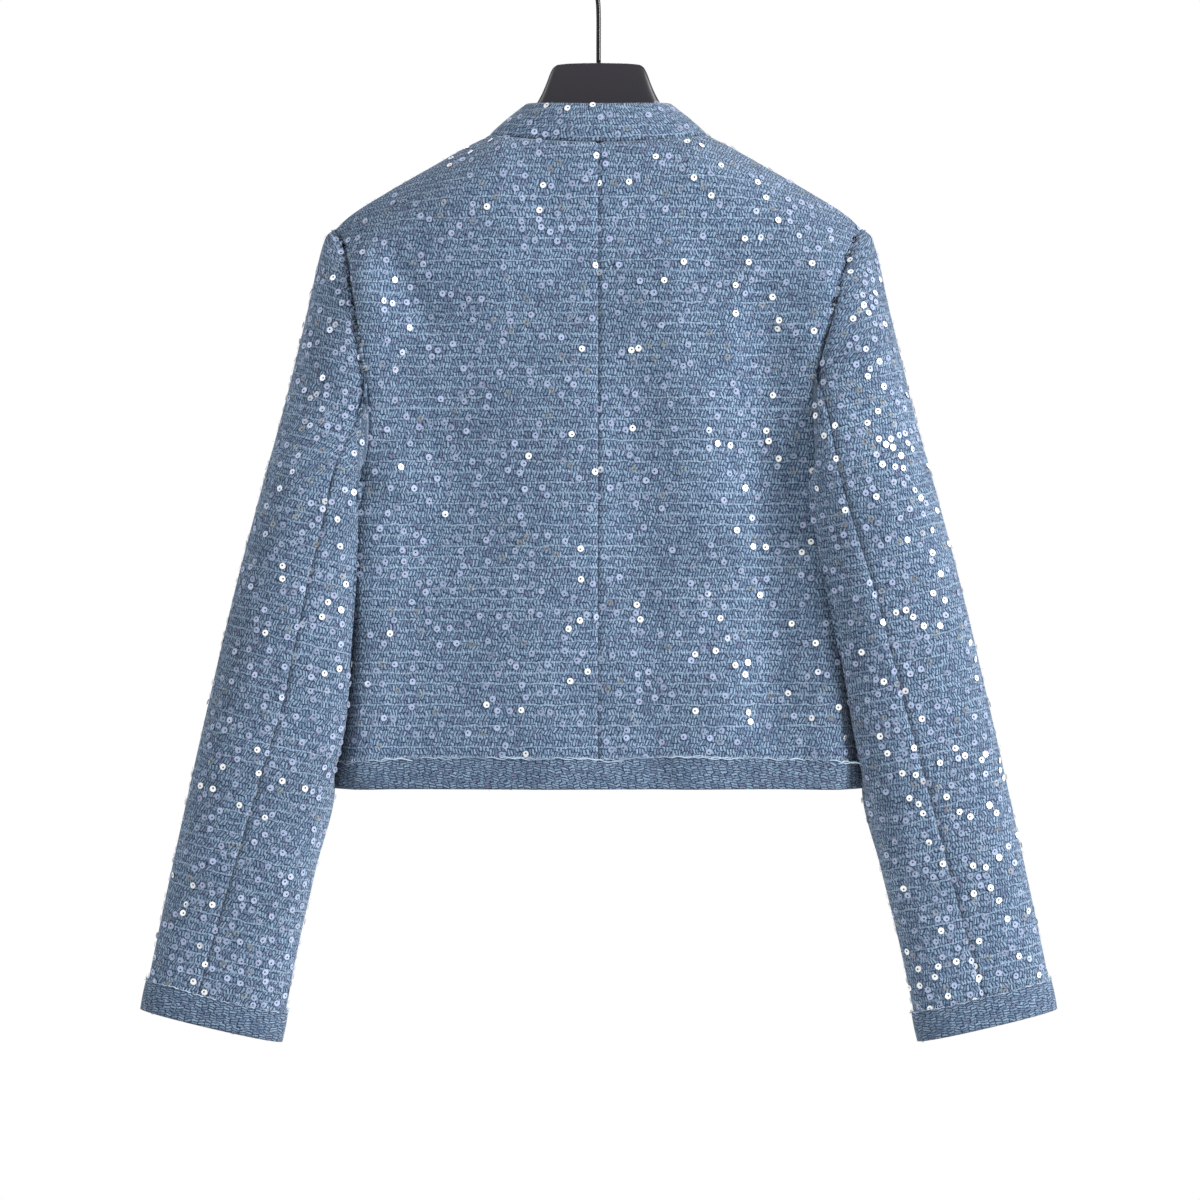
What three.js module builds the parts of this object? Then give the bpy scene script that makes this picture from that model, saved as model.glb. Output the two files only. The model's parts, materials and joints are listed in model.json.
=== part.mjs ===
// Cropped boucle blazer with a stand collar, hung on a hanger; its picture shows the back.
// Millimetres, +Z up. The wearer's left is +X and the back of the blazer faces +Y.
// The origin is the inside top of the hook, where a rail carries the hanger.
import * as THREE from 'three';

// Driving sizes
const CLOTH = 2.4;
const SEAM = 0.3;
const HEM = -663;
const TRIM_WIDTH = 22;
const TRIM_CLOTH = 1.6;
const TRIM_OVERHANG = 0.8;
const UNDERARM = -436;
const TIP = { x: 203, z: -238 };
const TOP_HALF = 205.6;
const NECK_HALF = 84;
const NECK_POINT = -165.8;
const NECK_BACK = { y: 38, z: -173.8 };
const NECK_FRONT = { y: -46, z: -248 };
const FRONT_OPENING = 2;
const COLLAR_TOP = { half: 55, back: 30, front: -52 };
const COLLAR_RISE = { back: 30, side: 24.5, front: 30 };
const SHOULDER_ROLL = 38;
const NECK_ROLL = 62;
const BODY_SQUARENESS = 2.5;
const SLEEVE_SQUARENESS = 2.2;
const SLEEVE_CLEARANCE = 6;
const CUFF_END = -831;
const CUFF_TRIM_TOP = CUFF_END + TRIM_WIDTH;
const PLATE_TOP = -110;
const WIRE_RADIUS = 1.75;
const HOOK_RADIUS = 19;

const LEFT = 1;
const RIGHT = -1;
const BACK = 1;
const FRONT = -1;

// Rows of numbers under named columns
function table(columns, rows) {
  return rows.map((row) => Object.fromEntries(columns.map((name, i) => [name, row[i]])));
}

// Level cuts of the body: half width, and how far back and front stand off the side seams
const GIRTH = table(['z', 'half', 'back', 'front'], [
  [HEM, 206.5, 46, 46],
  [-560, 204.5, 47.5, 50],
  [UNDERARM, 206, 49.5, 54],
  [-300, 206, 50, 52],
  [-160, 205, 48, 48],
]);

// Shoulder seam, from the neck to the tip
const SHOULDER = table(['x', 'z'], [
  [NECK_HALF, NECK_POINT],
  [98, -172.6],
  [130, -190.3],
  [162.6, -208.7],
  [191.6, -227],
  [TIP.x, TIP.z],
]);

// Armhole seam, from the underarm to the shoulder tip: a row for each point that a sleeve is sewn to
const ARMHOLE = table(['z', 'backLeft', 'backRight', 'front'], [
  [UNDERARM, 206, 206, 206],
  [-435.3, 204, 203.6, 204],
  [-433.5, 198.5, 196, 198.5],
  [-427.5, 189.5, 184, 189],
  [-418, 181, 174, 179],
  [-405, 175.5, 166.5, 171],
  [-388, 173.5, 162.5, 166],
  [-368, 175, 162, 165],
  [-347, 178, 166, 167],
  [-325, 181.2, 171, 170],
  [-303, 184.7, 176.5, 174],
  [-282, 187.8, 182, 179],
  [-264, 190.6, 187.5, 185],
  [-250, 194, 193, 191],
  [-242, 198.5, 198.3, 197.5],
  [TIP.z, TIP.x, TIP.x, TIP.x],
]);

// Heights between the hem and the underarm, and places of the grain lines across the shoulders
const SIDE_HEIGHTS = [HEM, HEM + TRIM_WIDTH, -612, -575, -535, -497, -462];
const BACK_PLACES = [0, 24, 47, 66, 79, NECK_HALF, 102, 120, 138, 155, 171, 187, TIP.x];
const FRONT_PLACES = [0, 24, 45, 62, 75, 82, NECK_HALF, 104, 124, 144, 164, 184, TIP.x];

// Level cuts of a sleeve: its outer and inner edge, the middle of its depth, the depth to the back
// and to the front, and the slope of the cut, which is square to the sleeve near the cuff
const SLEEVE = table(
  ['z', 'outer', 'innerLeft', 'innerRight', 'middle', 'backLeft', 'backRight', 'front', 'slope'], [
    [TIP.z, 203, 203, 203, 0, 0, 0, 0, 0],
    [-242, 207.8, 188, 188, 0, 11, 11, 11, 0],
    [-250, 211, 177, 178, 0, 20, 21, 20, 0],
    [-264, 214.7, 165, 173, 0, 28, 31, 28, 0],
    [-303, 223.3, 145, 165, 1, 37, 45, 37, 0],
    [-350, 234.2, 126, 158, 4, 42, 52, 43, 0],
    [-396, 245.5, 152, 151, 13, 43, 51, 50, 0],
    [-425, 253.2, 169, 151.5, 20, 42, 49, 52, 0],
    [-447, 258.8, 173.5, 154.6, 24, 41, 46.5, 50, 0.01],
    [-500, 272.5, 178, 166, 28, 38, 41, 45, 0.06],
    [-540, 282.3, 180, 175.5, 28, 37, 38, 41, 0.11],
    [-590, 294, 186, 186, 27, 35, 35, 37, 0.16],
    [-641, 305.8, 200, 200, 25, 33, 33, 33, 0.205],
    [-700, 319, 214.5, 214.5, 22, 30, 30, 30, 0.235],
    [-757, 331.5, 227.5, 228.5, 20, 27, 27, 27, 0.235],
    [CUFF_END, 347, 242, 244, 18.5, 23.5, 23.5, 23.5, 0.235],
  ]);

// Angle round a level cut, from its outer edge over the back, at which it meets the armhole
const TURN = table(['z', 'backLeft', 'backRight', 'front'], [
  [TIP.z, 90, 90, -90],
  [-264, 90, 108, -90],
  [-303, 90, 134, -90],
  [-350, 98, 151, -92],
  [-374, 108, 158, -95],
  [-396, 125, 166, -100],
  [-412, 150, 176, -107],
  [-425, 185, 194, -114],
  [UNDERARM, 235, 235, -125],
]);

// The two sleeve seams, as angles round the level cuts; above its first row a seam is the armhole
const ELBOW_SEAM = table(['z', 'left', 'right'], [
  [-347, 98, 151],
  [-374, 102, 126],
  [-408, 104, 115],
  [-446, 104, 110],
  [-526, 95, 102],
  [-630, 90, 97],
  [-744, 83, 93],
  [CUFF_END, 76, 89],
]);
const INNER_SEAM = table(['z', 'left', 'right'], [
  [-368, -95, -95],
  [-418, -88, -88],
  [CUFF_END, -84, -84],
]);
const SLEEVE_HEIGHTS = [-447, -468, -500, -540, -590, -641, -700, -757, CUFF_TRIM_TOP, CUFF_END];
const WING_COLUMNS = 10;
const UPPER_COLUMNS = 10;
const FRONT_WING_COLUMNS = 3;

// Soft folds of the body: a ridge or trough from one place to another, and how far it stands proud
const FOLDS = table(['face', 'fromX', 'fromZ', 'toX', 'toZ', 'width', 'rise'], [
  [BACK, 176, -262, 156, -430, 17, 4.5],
  [BACK, 156, -430, 164, -600, 22, 5],
  [BACK, 160, -262, 130, -312, 12, -4.5],
  [BACK, 112, -300, 106, -560, 26, -3.5],
  [BACK, 35, -480, 42, -640, 30, 3],
  [BACK, -22, -360, -38, -640, 20, -3.5],
  [BACK, -52, -270, -84, -470, 22, 3.5],
  [BACK, -112, -250, -96, -330, 14, 3],
  [BACK, -135, -330, -150, -560, 18, -4.5],
  [BACK, -118, -215, -168, -240, 12, -3],
  [BACK, -95, -590, -70, -640, 24, 3],
  [FRONT, 150, -300, 120, -560, 24, 4.5],
  [FRONT, 95, -330, 85, -620, 22, -3.5],
  [FRONT, 45, -400, 40, -640, 22, 3],
  [FRONT, -148, -290, -128, -520, 24, 4],
  [FRONT, -90, -360, -78, -600, 24, -4],
  [FRONT, -38, -420, -44, -620, 20, 3],
]);

// Hanger sections along +X: top and bottom edge and half thickness
const HANGER = table(['x', 'top', 'bottom', 'thick', 'squareness'], [
  [0, PLATE_TOP, -190, 6, 4],
  [20, PLATE_TOP - 0.4, -190.5, 6, 4],
  [31, PLATE_TOP - 1.4, -191, 6, 4],
  [34.5, PLATE_TOP - 3.5, -191.5, 6, 4],
  [37, -118, -192, 6, 4],
  [40, -126, -192.5, 6, 4],
  [44, -135, -193, 6, 3.6],
  [50, -145, -194, 6.5, 3.2],
  [60, -156, -196, 7.5, 2.8],
  [74, -167, -201, 9, 2.4],
  [87, -173, -207, 10.5, 2],
  [120, -188.8, -226, 13, 2],
  [152, -207, -243, 14, 2],
  [174, -220.8, -253, 12.5, 2],
  [184, -230, -252, 9, 2],
]);
const HANGER_SIDES = 16;
const HOOK_ANGLES = [-32, -8, 18, 45, 72, 100, 128, 156, 184, 206];
const HOOK_SIDES = 4;
const HOOK_STEPS = 44;

const BOUCLE = new THREE.MeshStandardMaterial({ color: '#7f93ad', roughness: 0.9, metalness: 0 });
const TRIM = new THREE.MeshStandardMaterial({ color: '#6f83a0', roughness: 0.95, metalness: 0 });
const HANGER_PLASTIC = new THREE.MeshStandardMaterial({ color: '#3b3a40', roughness: 0.45, metalness: 0 });
const HOOK_METAL = new THREE.MeshStandardMaterial({ color: '#1d1d20', roughness: 0.35, metalness: 0.7 });

const blazer = new THREE.Group();

function clamp(value, low, high) {
  return Math.min(high, Math.max(low, value));
}

function mix(a, b, share) {
  return a + (b - a) * share;
}

// Smooth curve through one column of a table, read at a value of its first column, without overshoot
function read(rows, column, at) {
  const by = Object.keys(rows[0])[0];
  const way = Math.sign(rows[rows.length - 1][by] - rows[0][by]);
  const place = rows.map((row) => way * row[by]);
  const goal = clamp(way * at, place[0], place[place.length - 1]);
  let i = 0;
  while (i < rows.length - 2 && goal > place[i + 1]) i += 1;
  const rise = (k) => (rows[k + 1][column] - rows[k][column]) / (place[k + 1] - place[k]);
  const slope = (k) => {
    if (k === 0) return rise(0);
    if (k === rows.length - 1) return rise(k - 1);
    const before = rise(k - 1);
    const after = rise(k);
    return before * after <= 0 ? 0 : (2 * before * after) / (before + after);
  };
  const span = place[i + 1] - place[i];
  const t = (goal - place[i]) / span;
  const bend = t * t * (3 - 2 * t);
  return rows[i][column] * (1 - bend) + rows[i + 1][column] * bend
    + span * (slope(i) * t * (1 - t) ** 2 - slope(i + 1) * t * t * (1 - t));
}

// Angle in a level cut of the body whose sine gives the share of the half width
function swing(share) {
  return Math.asin(clamp(share, 0, 1) ** (BODY_SQUARENESS / 2));
}

function foldRise(face, x, z) {
  let rise = 0;
  for (const fold of FOLDS.filter((row) => row.face === face)) {
    const alongX = fold.toX - fold.fromX;
    const alongZ = fold.toZ - fold.fromZ;
    const reach = ((x - fold.fromX) * alongX + (z - fold.fromZ) * alongZ) / (alongX ** 2 + alongZ ** 2);
    const t = clamp(reach, 0, 1);
    const away = Math.hypot(x - fold.fromX - t * alongX, z - fold.fromZ - t * alongZ);
    rise += fold.rise * Math.exp(-((away / fold.width) ** 2));
  }
  return rise;
}

// Height and depth of the top edge of a panel: the neckline, and then the shoulder seam
function topEdge(face, x) {
  if (x >= NECK_HALF) return { y: 0, z: read(SHOULDER, 'z', x) };
  const open = 1 - (x / NECK_HALF) ** 2;
  if (face === BACK) return { y: NECK_BACK.y * Math.sqrt(open), z: mix(NECK_POINT, NECK_BACK.z, open) };
  return { y: -NECK_FRONT.y * Math.sqrt(open), z: mix(NECK_POINT, NECK_FRONT.z, open ** 0.75) };
}

// Point of a body panel, on the grain line that ends at one place of its top edge
function panelPoint(side, face, place, edgeHeight, edgeX) {
  const top = topEdge(face, place);
  const z = mix(HEM, top.z, (edgeHeight - HEM) / (TIP.z - HEM));
  const half = read(GIRTH, 'half', z);
  const across = swing(place / TOP_HALF) / swing(TIP.x / TOP_HALF);
  const turn = across * swing(edgeX / half);
  const x = half * Math.sin(turn) ** (2 / BODY_SQUARENESS);
  const depth = read(GIRTH, face === BACK ? 'back' : 'front', z);
  const full = depth * Math.max(Math.cos(turn), 0) ** (2 / BODY_SQUARENESS);
  const roll = mix(NECK_ROLL, SHOULDER_ROLL, clamp((place - NECK_HALF) / 20 + 1, 0, 1));
  const drop = clamp((top.z - z) / roll, 0, 1);
  const fade = drop * clamp((half - x) / 22, 0, 1);
  const proud = mix(top.y, full, Math.sqrt(1 - (1 - drop) ** 2)) + fade * foldRise(face, side * x, z);
  const middle = face === BACK ? SEAM / 2 : FRONT_OPENING / 2;
  return new THREE.Vector3(side * Math.max(x, middle), face * Math.max(proud, SEAM / 2), z);
}

// A sheet is a list of points with normals and faces. Normals come from the faces round each place.
function sheetKey(point) {
  return `${point.x.toFixed(3)} ${point.y.toFixed(3)} ${point.z.toFixed(3)}`;
}

function faceNormal(points, face) {
  const a = points[face[0]];
  const diagonal = points[face[2]].clone().sub(a);
  const other = points[face[face.length - 1]].clone().sub(points[face[1]]);
  return face.length === 4 ? diagonal.cross(other) : points[face[1]].clone().sub(a).cross(diagonal);
}

function gridFaces(rowCount, columnCount) {
  const faces = [];
  for (let r = 0; r < rowCount - 1; r += 1) {
    for (let c = 0; c < columnCount - 1; c += 1) {
      const a = r * columnCount + c;
      faces.push([a, a + 1, a + columnCount + 1, a + columnCount]);
    }
  }
  return faces;
}

// Turns the faces so that they look away from the middle of the hollow, and adds the normals
function finishSheet(points, faces, hollow) {
  let outward = 0;
  for (const face of faces) {
    outward += faceNormal(points, face).dot(points[face[0]].clone().sub(hollow(points[face[0]])));
  }
  const turned = outward < 0 ? faces.map((face) => [...face].reverse()) : faces;
  const sums = new Map();
  for (const face of turned) {
    const normal = faceNormal(points, face);
    for (const key of new Set(face.map((i) => sheetKey(points[i])))) {
      sums.set(key, (sums.get(key) ?? new THREE.Vector3()).add(normal));
    }
  }
  const normals = points.map((point) => (
    (sums.get(sheetKey(point)) ?? new THREE.Vector3()).clone().normalize()));
  return { points, faces: turned, normals };
}

// Geometry of the closed wall between two offsets of a sheet, with a rim round its free edges
function wallGeometry(sheet, outside, inside) {
  const number = new Map();
  const kept = [];
  const same = sheet.points.map((point, i) => {
    const key = sheetKey(point);
    if (!number.has(key)) {
      number.set(key, kept.length);
      kept.push(i);
    }
    return number.get(key);
  });
  const offset = (distance) => kept.map((i) => (
    sheet.points[i].clone().addScaledVector(sheet.normals[i], distance)));
  const vertices = [...offset(outside), ...offset(inside)];
  const triangles = [];
  for (const face of sheet.faces) {
    const ring = face.map((i) => same[i]).filter((v, i, all) => v !== all[(i + 1) % all.length]);
    if (ring.length === 3) triangles.push(ring);
    if (ring.length === 4) {
      const [a, b, c, d] = ring;
      const short = vertices[a].distanceTo(vertices[c]) < vertices[b].distanceTo(vertices[d]);
      triangles.push(...(short ? [[a, b, c], [a, c, d]] : [[a, b, d], [b, c, d]]));
    }
  }
  const edges = new Set(triangles.flatMap(([a, b, c]) => [`${a} ${b}`, `${b} ${c}`, `${c} ${a}`]));
  const index = [];
  for (const [a, b, c] of triangles) {
    index.push(a, b, c, c + kept.length, b + kept.length, a + kept.length);
    for (const [from, to] of [[a, b], [b, c], [c, a]]) {
      if (!edges.has(`${to} ${from}`)) {
        index.push(to, from, from + kept.length, to, from + kept.length, to + kept.length);
      }
    }
  }
  const geometry = new THREE.BufferGeometry();
  const numbers = vertices.flatMap((vertex) => vertex.toArray());
  geometry.setAttribute('position', new THREE.Float32BufferAttribute(numbers, 3));
  geometry.setIndex(index);
  return geometry;
}

function addMesh(name, geometry, material) {
  geometry.computeVertexNormals();
  const mesh = new THREE.Mesh(geometry, material);
  mesh.name = name;
  blazer.add(mesh);
}

const CROWDED_ROWS = 6;

// Body panels: rows from the hem to the shoulder, columns from the middle to the side
const PANEL_ROWS = SIDE_HEIGHTS.length + ARMHOLE.length;

function armholeColumn(side, face) {
  if (face === FRONT) return 'front';
  return side === LEFT ? 'backLeft' : 'backRight';
}

// How far the way out of a panel is turned straight up, at the lowest points of its armhole
const RAISED_OUT = [1, 0.8, 0.5, 0.2];

// Way straight out of the body's level cut at one of its points
function bodyNormal(side, face, point) {
  const half = read(GIRTH, 'half', point.z);
  const depth = read(GIRTH, face === BACK ? 'back' : 'front', point.z);
  const power = BODY_SQUARENESS - 1;
  const x = (Math.abs(point.x) / half) ** power / half;
  const y = (Math.abs(point.y) / depth) ** power / depth;
  return new THREE.Vector3(side * x, face * y, 0).normalize();
}

function panelSheet(side, face) {
  const places = face === BACK ? BACK_PLACES : FRONT_PLACES;
  // The rows crowd together at the foot of the armhole and spread evenly towards the middle
  const edges = [
    ...SIDE_HEIGHTS.map((z) => ({ z, even: z, x: read(GIRTH, 'half', z) })),
    ...ARMHOLE.map((row, i) => ({
      z: row.z,
      even: mix(UNDERARM, ARMHOLE[CROWDED_ROWS].z, Math.min(i / CROWDED_ROWS, 1)),
      x: row[armholeColumn(side, face)],
    })),
  ];
  edges.slice(SIDE_HEIGHTS.length + CROWDED_ROWS).forEach((edge) => { edge.even = edge.z; });
  const points = edges.flatMap((edge) => places.map((place) => (
    panelPoint(side, face, place, mix(edge.even, edge.z, (place / TIP.x) ** 2), edge.x))));
  const faces = gridFaces(PANEL_ROWS, places.length);
  const sheet = finishSheet(points, faces, (p) => new THREE.Vector3(p.x, 0, p.z));
  sheet.columns = places.length;
  sheet.neckColumn = places.indexOf(NECK_HALF);
  // At a seam the wall ends square, in the plane of the seam
  sheet.normals.forEach((normal, i) => {
    const row = Math.floor(i / places.length);
    const column = i % places.length;
    const lowArmhole = row >= SIDE_HEIGHTS.length && row < SIDE_HEIGHTS.length + RAISED_OUT.length;
    if (column === places.length - 1 && lowArmhole) normal.copy(bodyNormal(side, face, points[i]));
    if (column === 0) normal.x = 0;
    const sideSeam = column === places.length - 1 && row < SIDE_HEIGHTS.length + 1;
    const shoulderSeam = row === PANEL_ROWS - 1 && column >= sheet.neckColumn;
    if (sideSeam || shoulderSeam) normal.y = 0;
    normal.normalize();
  });
  return sheet;
}

const panels = new Map();
for (const side of [LEFT, RIGHT]) {
  for (const face of [BACK, FRONT]) panels.set(side * 2 + face, panelSheet(side, face));
}
const panelOf = (side, face) => panels.get(side * 2 + face);

// At the neck point both panels and the collar end on one bevel
for (const side of [LEFT, RIGHT]) {
  const corners = [BACK, FRONT].map((face) => {
    const sheet = panelOf(side, face);
    return sheet.normals[(PANEL_ROWS - 1) * sheet.columns + sheet.neckColumn];
  });
  const shared = corners[0].clone().add(corners[1]).normalize();
  corners.forEach((normal) => normal.copy(shared));
}

// Armhole edge of a panel: its points from the underarm up, its normals, and the way out of the panel
function armholeEdge(side, face) {
  const sheet = panelOf(side, face);
  const at = ARMHOLE.map((row, i) => (SIDE_HEIGHTS.length + i) * sheet.columns + sheet.columns - 1);
  return at.map((i, k) => {
    const along = sheet.points[at[Math.min(k + 1, at.length - 1)]].clone()
      .sub(sheet.points[at[Math.max(k - 1, 0)]]);
    const out = along.cross(sheet.normals[i]).normalize().multiplyScalar(-side * face);
    if (k < RAISED_OUT.length) out.lerp(new THREE.Vector3(0, 0, 1), RAISED_OUT[k]).normalize();
    if (k === at.length - 1) out.set(0.86 * side, 0, -0.5);
    return { point: sheet.points[i], normal: sheet.normals[i], out };
  });
}

// Moves a sleeve point that is nearer the body than the clearance straight away from it
function clearOfBody(side, point, clearance) {
  if (point.z < HEM - SLEEVE_CLEARANCE || point.z > TIP.z - SHOULDER_ROLL) return;
  const half = read(GIRTH, 'half', point.z) + clearance;
  const face = point.y >= 0 ? BACK : FRONT;
  const depth = read(GIRTH, face === BACK ? 'back' : 'front', point.z) + clearance;
  const fold = foldRise(face, point.x, point.z) * clamp((half - side * point.x) / 22, 0, 1);
  let x = Math.max(side * point.x, 1);
  let y = Math.max(face * point.y - Math.max(fold, 0), 0);
  for (let step = 0; step < 12; step += 1) {
    const level = (x / half) ** BODY_SQUARENESS + (y / depth) ** BODY_SQUARENESS - 1;
    if (level >= 0) break;
    const slopeX = BODY_SQUARENESS / half * (x / half) ** (BODY_SQUARENESS - 1);
    const slopeY = BODY_SQUARENESS / depth * (y / depth) ** (BODY_SQUARENESS - 1);
    const share = Math.min(-level, 0.25) / (slopeX ** 2 + slopeY ** 2);
    x += share * slopeX;
    y += share * slopeY;
  }
  point.x = side * x;
  point.y = face * (y + Math.max(fold, 0));
}

// Level cut of a sleeve, at an angle from its outer edge over the back
function cutPoint(side, z, angle) {
  const name = side === LEFT ? 'Left' : 'Right';
  const outer = read(SLEEVE, 'outer', z);
  const inner = read(SLEEVE, `inner${name}`, z);
  const cos = Math.cos(THREE.MathUtils.degToRad(angle));
  const sin = Math.sin(THREE.MathUtils.degToRad(angle));
  const power = 2 / SLEEVE_SQUARENESS;
  const x = (outer + inner) / 2 + (outer - inner) / 2 * Math.sign(cos) * Math.abs(cos) ** power;
  const depth = read(SLEEVE, sin > 0 ? `back${name}` : 'front', z);
  const y = read(SLEEVE, 'middle', z) + depth * Math.sign(sin) * Math.abs(sin) ** power;
  return new THREE.Vector3(side * x, y, z - read(SLEEVE, 'slope', z) * (outer - x));
}

// A sleeve: rows from the shoulder tip to the cuff, columns round it from the back of the armhole
const SLEEVE_COLUMNS = WING_COLUMNS + UPPER_COLUMNS + FRONT_WING_COLUMNS;

// How far round a level cut, in degrees, the shape leads from the armhole seam to the free sleeve
const BACK_REACH = 75;
const FRONT_REACH = 38;

// Below this cosine between the two cloths' normals, a sleeve doubles back over the armhole seam
const FOLDED_BACK = 0.6;

// How far the sleeve's edge stands into the armhole, from nothing at the first height to the second
const UNDERARM_TUCK = 4.2;
const UNDERARM_TUCK_TOP = -396;
const UNDERARM_TUCK_FULL = -418;

function sleeveAngles(side, z) {
  const seam = side === LEFT ? 'left' : 'right';
  const back = read(TURN, side === LEFT ? 'backLeft' : 'backRight', z);
  const front = read(TURN, 'front', z);
  const elbow = z >= ELBOW_SEAM[0].z ? back : read(ELBOW_SEAM, seam, z);
  const inner = z >= INNER_SEAM[0].z ? front : read(INNER_SEAM, seam, z);
  const stops = [[back, elbow, WING_COLUMNS], [elbow, inner, UPPER_COLUMNS],
    [inner, front, FRONT_WING_COLUMNS]];
  const angles = [back];
  for (const [from, to, count] of stops) {
    for (let i = 1; i <= count; i += 1) angles.push(mix(from, to, i / count));
  }
  return angles;
}

function sleeveSheet(side) {
  const backEdge = armholeEdge(side, BACK).reverse();
  const frontEdge = armholeEdge(side, FRONT).reverse();
  const points = [];
  backEdge.forEach((back, row) => {
    const front = frontEdge[row];
    const z = back.point.z;
    const angles = sleeveAngles(side, z);
    const low = (UNDERARM_TUCK_TOP - z) / (UNDERARM_TUCK_TOP - UNDERARM_TUCK_FULL);
    const tuck = UNDERARM_TUCK * clamp(low, 0, 1);
    const sewn = [back, front].map((edge) => edge.point.clone().addScaledVector(edge.out, SEAM + tuck));
    if (row === 0 || row === backEdge.length - 1) sewn.forEach((point) => point.setY(0));
    const shift = [sewn[0].clone().sub(cutPoint(side, z, angles[0])),
      sewn[1].clone().sub(cutPoint(side, z, angles[SLEEVE_COLUMNS]))];
    angles.forEach((angle, column) => {
      const point = cutPoint(side, z, angle);
      const fromBack = clamp(1 - (angles[0] - angle) / BACK_REACH, 0, 1) ** 2;
      const fromFront = clamp(1 - (angle - angles[SLEEVE_COLUMNS]) / FRONT_REACH, 0, 1) ** 2;
      point.addScaledVector(shift[0], fromBack).addScaledVector(shift[1], fromFront);
      if (row === 0) point.copy(sewn[0]);
      const near = Math.min(point.distanceTo(sewn[0]), point.distanceTo(sewn[1]));
      if (column > 0 && column < SLEEVE_COLUMNS && near > 1) {
        clearOfBody(side, point, Math.min(SLEEVE_CLEARANCE, 2 + near / 4));
      }
      points.push(point);
    });
  });
  for (const z of SLEEVE_HEIGHTS) {
    for (const angle of sleeveAngles(side, z)) {
      const point = cutPoint(side, z, angle);
      clearOfBody(side, point, SLEEVE_CLEARANCE + (z < HEM + 3 * TRIM_WIDTH ? TRIM_CLOTH : 0));
      points.push(point);
    }
  }
  const rows = backEdge.length + SLEEVE_HEIGHTS.length;
  const middle = (p) => {
    const z = p.z;
    const name = side === LEFT ? 'innerLeft' : 'innerRight';
    return new THREE.Vector3(side * (read(SLEEVE, 'outer', z) + read(SLEEVE, name, z)) / 2,
      read(SLEEVE, 'middle', z), z);
  };
  const sheet = finishSheet(points, gridFaces(rows, SLEEVE_COLUMNS + 1), middle);
  sheet.rows = rows;
  sheet.columns = SLEEVE_COLUMNS + 1;
  // Where cloth and sleeve bend in over the seam, both walls end on one bevel
  for (const [edge, column] of [[backEdge, 0], [frontEdge, SLEEVE_COLUMNS]]) {
    edge.forEach((sewn, row) => {
      const at = row * sheet.columns + column;
      const bevel = sheet.normals[at].clone();
      const foldsBack = bevel.dot(sewn.normal) < FOLDED_BACK;
      if (foldsBack) {
        bevel.copy(sewn.out).negate();
      } else {
        bevel.add(sewn.normal);
        if (row === 0) bevel.y = 0;
      }
      bevel.normalize();
      if (!foldsBack) sewn.normal.copy(bevel);
      const corner = sheetKey(points[at]);
      for (let i = row * sheet.columns; i < (row + 1) * sheet.columns; i += 1) {
        if (sheetKey(points[i]) === corner) sheet.normals[i].copy(bevel);
      }
    });
  }
  return sheet;
}

const sleeves = new Map([LEFT, RIGHT].map((side) => [side, sleeveSheet(side)]));
const BODY_NAME = new Map([[LEFT, 'left'], [RIGHT, 'right']]);

for (const side of [LEFT, RIGHT]) {
  for (const face of [BACK, FRONT]) {
    const name = `${face === BACK ? 'back' : 'front'}_${BODY_NAME.get(side)}`;
    addMesh(name, wallGeometry(panelOf(side, face), 0, -CLOTH), BOUCLE);
  }
}

// Part of a sleeve between columns, with its seam edges drawn back by half a seam
function sleevePiece(side, ranges, seamColumns) {
  const sheet = sleeves.get(side);
  const points = sheet.points.map((point) => point.clone());
  for (const [column, step] of seamColumns) {
    for (let row = 0; row < sheet.rows; row += 1) {
      const at = row * sheet.columns + column;
      const way = sheet.points[at + step].clone().sub(sheet.points[at]);
      if (way.length() > 1) points[at].addScaledVector(way.normalize(), SEAM / 2);
    }
  }
  const inRange = (column) => ranges.some(([from, to]) => column >= from && column < to);
  const faces = gridFaces(sheet.rows, sheet.columns);
  const kept = sheet.faces.filter((face, i) => inRange(faces[i][0] % sheet.columns));
  return { points, faces: kept, normals: sheet.normals };
}

const ELBOW_COLUMN = WING_COLUMNS;
const INNER_COLUMN = WING_COLUMNS + UPPER_COLUMNS;
for (const side of [LEFT, RIGHT]) {
  const upper = sleevePiece(side, [[ELBOW_COLUMN, INNER_COLUMN]], [[ELBOW_COLUMN, 1], [INNER_COLUMN, -1]]);
  const under = sleevePiece(side, [[0, ELBOW_COLUMN], [INNER_COLUMN, SLEEVE_COLUMNS]],
    [[ELBOW_COLUMN, -1], [INNER_COLUMN, 1]]);
  addMesh(`sleeve_upper_${BODY_NAME.get(side)}`, wallGeometry(upper, 0, -CLOTH), BOUCLE);
  addMesh(`sleeve_under_${BODY_NAME.get(side)}`, wallGeometry(under, 0, -CLOTH), BOUCLE);
}

// Stand collar: a band that rises from the neckline edge of the four panels
function collarEdge() {
  const edge = [];
  for (const [side, face] of [[LEFT, FRONT], [LEFT, BACK], [RIGHT, BACK], [RIGHT, FRONT]]) {
    const sheet = panelOf(side, face);
    const start = (PANEL_ROWS - 1) * sheet.columns;
    const stretch = Array.from({ length: sheet.neckColumn + 1 }, (_, i) => (
      { point: sheet.points[start + i], normal: sheet.normals[start + i], face }));
    if ((side === LEFT) === (face === BACK)) stretch.reverse();
    edge.push(...stretch);
  }
  // Where two panels meet, one point of the collar stands on both
  return edge.filter((at, i) => i === 0 || at.point.distanceTo(edge[i - 1].point) > 2 * SEAM);
}

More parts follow.
